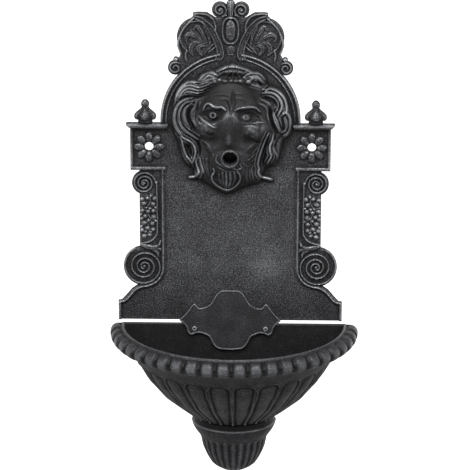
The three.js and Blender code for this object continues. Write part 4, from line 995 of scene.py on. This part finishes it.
def basinSkin(turn, line):  # the gadrooned rim and the tongues round the bowl
    radius, height = line[:, 0] + 0 * turn, line[:, 1] + 0 * turn
    lobe = np.clip((np.abs(np.sin(turn * basin["lobes"])) - 0.2) / 0.6, 0, 1)
    fall = (1 - lobe) ** 1.5 * np.clip(np.minimum(turn, math.pi - turn) / 0.09, 0, 1)
    rim = np.clip((line[:, 0] - basin["rimRadius"]) / 3.5, 0, 1) * (line[:, 1] > -36)
    radius -= rim * fall * basin["lobeDepth"] * np.clip((line[:, 0] - 183) / 12, 0, 1)
    height -= rim * fall * basin["lobeDepth"] * 0.8 * np.clip((line[:, 1] - basin["rimMiddle"]) / 9, -1, 1)
    face = np.clip(1 - np.abs(line[:, 1] + 22) / 13, 0, 1) * (line[:, 0] > 190)
    sheen = 0.42 + 0.12 * np.exp(-((np.cos(turn) * 200 + 42) / 50) ** 2)  # painted sheen, brightest left of the middle
    # lobe faces painted lighter as highlight, the gaps between the lobes painted darker as shade
    wearAndPaintedLight = wearOf["front"] + rim * (sheen * lobe * face - 0.3 * fall)
    # a thin painted highlight along the lip's rubbed top edge
    wearAndPaintedLight = wearAndPaintedLight + 0.34 * np.clip(1 - np.abs(line[:, 0] - 183.5) / 2.2, 0, 1) * (line[:, 1] > -9)
    along = runOf(line)
    top, low = (np.interp(basin[key], line[:-40, 0], along[:-40]) for key in ("tongueTop", "tongueFoot"))
    body = (line[:, 1] < -40) & (line[:, 0] > 60)
    pitch = math.pi / basin["tongues"]
    across = (np.mod(turn, pitch) - pitch / 2) * line[:, 0]
    half = np.maximum(pitch * line[:, 0] / 2, 1)
    crownHalf = pitch * basin["crownRadius"] / 2
    down = along - (top - crownHalf)
    above = np.hypot(across, np.maximum(down, 0)) - crownHalf
    edge = np.where(down > 0, above, np.abs(across) - half)
    edge = np.where(body, edge, 0) + 0.3 + 1.6 * np.clip((line[:, 0] - 105) / 50, 0, 1)
    below = np.clip((along - low) / 6, 0, 1)
    ridge = dome(edge + 0.3, 1.3) ** 0.6
    ditch = dome(edge + 3.8, 2.6)
    belly = np.clip((-edge - 4.5) / np.maximum(half * 0.55, 3), 0, 1) ** 0.6
    swellOut = body * below * (basin["tongueRise"] * (0.75 * ridge + 1.3 * belly) - 1.5 * ditch)
    between = (np.mod(turn + pitch / 2, pitch) - pitch / 2) * line[:, 0]
    beads = dome(np.hypot(between, along - low - 5.0), basin["beadRadius"])
    beads = beads * (np.abs(turn - math.pi / 2) < math.pi / 2 - pitch / 2)
    swellOut = swellOut + basin["beadRise"] * beads ** 0.6
    tangent = np.gradient(line, axis=0)
    tangent /= np.maximum(np.hypot(tangent[:, 0], tangent[:, 1]), 1e-6)[:, None]
    radius += swellOut * tangent[:, 1]
    height -= swellOut * tangent[:, 0]
    wearAndPaintedLight = wearAndPaintedLight + body * below * (0.3 * ridge - 0.3 * ditch + 0.1 * belly) + 0.25 * beads
    return radius, height, wearAndPaintedLight


basinOuter = np.concatenate([outerLine[:3], resampled(outerLine[3:], 1.25)])  # the flat foot stays coarse
basinCasting = halfRound("basinCasting", basinOuter, resampled(innerLine, 6.0), basin["wall"], basin["steps"],
                         basin["shift"], basinSkin)
closeUp(basinCasting)
finish(basinCasting, basinIron, 55)

cup = {"shift": 6.5, "wall": 6.0, "steps": 280, "flutes": 13, "fluteDepth": 2.4, "fluteTop": -196.0,
       "lipHeight": -173.6, "lipRadius": 69.0}
cupOuter = [(0, -263.5), (12, -263), (24, -257.5), (34.5, -250), (41.5, -240), (46.8, -229), (50.6, -219),
            (53, -208), (54.4, -202), (58.5, -196), (64.5, -188), (68.6, -180), (69.9, -176), (70.2, -174),
            (69.3, -172.2), (68.2, -171.4), (67.6, -170), (67.4, -164.4), (66.6, -163.4)]
cupInner = [(64.5, -163.4), (63.2, -165), (62.6, -171.1), (44, -171.2), (43, -175), (38, -205), (24, -232),
            (12, -244), (6, -246)]


def cupSkin(turn, line):
    radius, height = line[:, 0] + 0 * turn, line[:, 1] + 0 * turn
    wave = np.abs(np.sin(turn * cup["flutes"]))
    top = cup["fluteTop"] - 5.5 * (1 - wave) ** 2
    zone = np.clip((top - line[:, 1]) / 1.5, 0, 1) * np.clip(line[:, 0] / 12, 0, 1)
    radius += zone * cup["fluteDepth"] * (wave ** 0.6 - 0.55)
    lip = np.clip(1 - np.abs(line[:, 1] - cup["lipHeight"]) / 2.2, 0, 1) * (line[:, 0] > cup["lipRadius"])
    # flute ridges rubbed lighter and valleys darker; the lip's edge painted lighter as highlight; the neck
    # above the lip, under the basin, painted darker as shade
    wearAndPaintedLight = 0.37 + zone * (0.24 * wave ** 3 - 0.16 * (1 - wave) ** 1.5) + 0.5 * lip - 0.26 * (line[:, 1] > -171)
    return radius, height, wearAndPaintedLight


corbelCup = halfRound("corbelCupCasting", resampled(cupOuter, 1.0), cupInner, cup["wall"], cup["steps"],
                      cup["shift"],
                      cupSkin)
closeUp(corbelCup)
finish(corbelCup, basinIron, 55)


# The two socket-cap screws, set by Geometry Nodes
screw = {"Spacing": 0.117, "Head Radius": 0.00425, "Land Radius": 0.0031, "Head Height": 0.0022,
         "Socket Radius": 0.0021, "Shank Radius": 0.0025}
screwForm = {"drumAt": (0, 0, -0.0011), "domeHeight": 0.00225, "domeAt": (0, 0, -0.00005),
             "socketHeight": 0.0052,
             "socketAt": (0, 0, 0.0026), "shankLength": 0.0102, "shankAt": (0, 0, -0.00645),
             "rowAt": (0, -0.0128, -0.1625)}


def screwTree(form):
    tree = bpy.data.node_groups.new("coverScrews", "GeometryNodeTree")
    tree.interface.new_socket("Geometry", in_out="OUTPUT", socket_type="NodeSocketGeometry")
    for label in screw:
        tree.interface.new_socket(label, in_out="INPUT", socket_type="NodeSocketFloat")
    given = addNode(tree, "NodeGroupInput").outputs
    drum = addNode(tree, "GeometryNodeMeshCylinder", {"Vertices": 48, "Radius": given["Head Radius"],
                                                      "Depth": given["Head Height"], "Side Segments": 1})
    drum = addNode(tree, "GeometryNodeTransform", {"Geometry": drum.outputs["Mesh"],
                                                   "Translation": form["drumAt"]})
    cone = addNode(tree, "GeometryNodeMeshCone", {"Vertices": 48, "Radius Top": given["Land Radius"],
                                                  "Radius Bottom": given["Head Radius"],
                                                  "Depth": form["domeHeight"]})
    cone = addNode(tree, "GeometryNodeTransform", {"Geometry": cone.outputs["Mesh"],
                                                   "Translation": form["domeAt"]})
    head = addNode(tree, "GeometryNodeMeshBoolean", {1: drum.outputs["Geometry"]}, operation="UNION",
                   solver="EXACT")
    tree.links.new(cone.outputs["Geometry"], head.inputs[1])
    socket = addNode(tree, "GeometryNodeMeshCylinder", {"Vertices": 6, "Radius": given["Socket Radius"],
                                                        "Depth": form["socketHeight"]})
    lifted = addNode(tree, "GeometryNodeTransform", {"Geometry": socket.outputs["Mesh"],
                                                     "Translation": form["socketAt"]})
    cut = addNode(tree, "GeometryNodeMeshBoolean", {0: head.outputs["Mesh"], 1: lifted.outputs["Geometry"]},
                  operation="DIFFERENCE", solver="EXACT")
    shank = addNode(tree, "GeometryNodeMeshCylinder", {"Vertices": 32, "Radius": given["Shank Radius"],
                                                       "Depth": form["shankLength"]})
    sunk = addNode(tree, "GeometryNodeTransform", {"Geometry": shank.outputs["Mesh"],
                                                   "Translation": form["shankAt"]})
    whole = addNode(tree, "GeometryNodeMeshBoolean", {1: cut.outputs["Mesh"]}, operation="UNION",
                    solver="EXACT")
    tree.links.new(sunk.outputs["Geometry"], whole.inputs[1])
    half = addNode(tree, "ShaderNodeMath", {0: given["Spacing"], 1: 0.5}, operation="MULTIPLY").outputs[0]
    start = addNode(tree, "ShaderNodeMath", {0: half, 1: -1.0}, operation="MULTIPLY").outputs[0]
    rowStart = addNode(tree, "ShaderNodeCombineXYZ", {"X": start}).outputs[0]
    rowStep = addNode(tree, "ShaderNodeCombineXYZ", {"X": given["Spacing"]}).outputs[0]
    row = addNode(tree, "GeometryNodeMeshLine", {"Count": 2, "Start Location": rowStart, "Offset": rowStep})
    turned = addNode(tree, "GeometryNodeInstanceOnPoints", {"Points": row.outputs["Mesh"],
                                                            "Instance": whole.outputs["Mesh"],
                                                            "Rotation": (math.pi / 2, 0, 0)})
    moved = addNode(tree, "GeometryNodeTransform", {"Geometry": turned.outputs["Instances"],
                                                    "Translation": form["rowAt"]})
    solid = addNode(tree, "GeometryNodeRealizeInstances", {"Geometry": moved.outputs["Geometry"]})
    dressed = addNode(tree, "GeometryNodeSetMaterial", {"Geometry": solid.outputs["Geometry"],
                                                        "Material": steel})
    addNode(tree, "NodeGroupOutput", {"Geometry": dressed.outputs["Geometry"]})
    return tree


coverScrews = newMesh("coverScrews", [], [])
setter = coverScrews.modifiers.new("screws", "NODES")
setter.node_group = screwTree(screwForm)
for item in setter.node_group.interface.items_tree:
    if item.in_out == "INPUT":
        setter[item.identifier] = screw[item.name]
plain(coverScrews)
finish(coverScrews, steel, 35)

for piece, slot, nodes in ((backPlate, "cast_iron_plate", ["backplate"]),
                           (joiningPlate, "cast_iron_plate", ["joining_plate"]),
                           (basinCasting, "cast_iron_basin", ["basin"]),
                           (corbelCup, "cast_iron_basin", ["corbel_cup"]),
                           (coverScrews, "screw_steel", ["cover_screw_left", "cover_screw_right"])):
    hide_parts(*nodes)
    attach(piece, "root")


# Pale wall and floor, soft light from above and the camera of the photograph
def paleSurface(name, code, glow):
    material, tree = newMaterial(name)
    shader = addNode(tree, "ShaderNodeBsdfPrincipled", {"Base Color": linear(code), "Roughness": 0.9,
                                                        "Emission Color": linear("#ffffff"),
                                                        "Emission Strength": glow})
    addNode(tree, "ShaderNodeOutputMaterial", {"Surface": shader.outputs["BSDF"]})
    return material


def stagePiece(name, corners, material):
    piece = newMesh(name, corners, [(0, 1, 2, 3)])
    piece.data.materials.append(material)


stagePiece("studioWall", [(-20, 7.5, -4), (20, 7.5, -4), (20, 7.5, 6), (-20, 7.5, 6)],
           paleSurface("paleWall", "#f4f4f4", 0.95))
stagePiece("studioFloor", [(-20, -9, -4), (20, -9, -4), (20, 7.5, -4), (-20, 7.5, -4)],
           paleSurface("paleFloor", "#d8d8d8", 0.0))


def softLight(name, spot, target, size, power):
    lamp = bpy.data.lights.new(name, "AREA")
    lamp.shape = "RECTANGLE"
    lamp.size, lamp.size_y, lamp.energy = size[0], size[1], power
    piece = bpy.data.objects.new(name, lamp)
    piece.location = spot
    piece.rotation_euler = (Vector(target) - Vector(spot)).to_track_quat("-Z", "Y").to_euler()
    bpy.context.scene.collection.objects.link(piece)


softLight("topLight", (0.0, -1.7, 2.15), (0, 0, 0.1), (2.0, 1.2), 85)
softLight("leftLight", (-2.2, -1.8, 1.1), (0, 0, 0.1), (1.2, 1.6), 22)
softLight("rightLight", (2.2, -1.8, 1.1), (0, 0, 0.1), (1.2, 1.6), 22)
world = bpy.data.worlds.new("studio")
world.use_nodes = True
world.node_tree.nodes["Background"].inputs["Color"].default_value = linear("#ffffff")
world.node_tree.nodes["Background"].inputs["Strength"].default_value = 0.3
bpy.context.scene.world = world
bpy.context.scene.view_settings.view_transform = "Standard"

view = {"target": (0.00763, 0.0, -0.0051), "distance": 4.5, "down": 17.0, "aside": -1.22, "roll": 0.131,
        "lens": 211.1}
down, aside, roll = (math.radians(view[k]) for k in ("down", "aside", "roll"))
forward = Vector((math.sin(aside) * math.cos(down), math.cos(aside) * math.cos(down), -math.sin(down)))
right = forward.cross(Vector((0, 0, 1))).normalized()
up = right.cross(forward)
right, up = (math.cos(roll) * right + math.sin(roll) * up, math.cos(roll) * up - math.sin(roll) * right)
camera = bpy.data.objects.new("camera", bpy.data.cameras.new("camera"))
camera.data.lens = view["lens"]
camera.data.clip_end = 50
camera.matrix_world = Matrix.Translation(Vector(view["target"]) - view["distance"] * forward) @ \
    Matrix((right, up, -forward)).transposed().to_4x4()
bpy.context.scene.collection.objects.link(camera)
bpy.context.scene.camera = camera
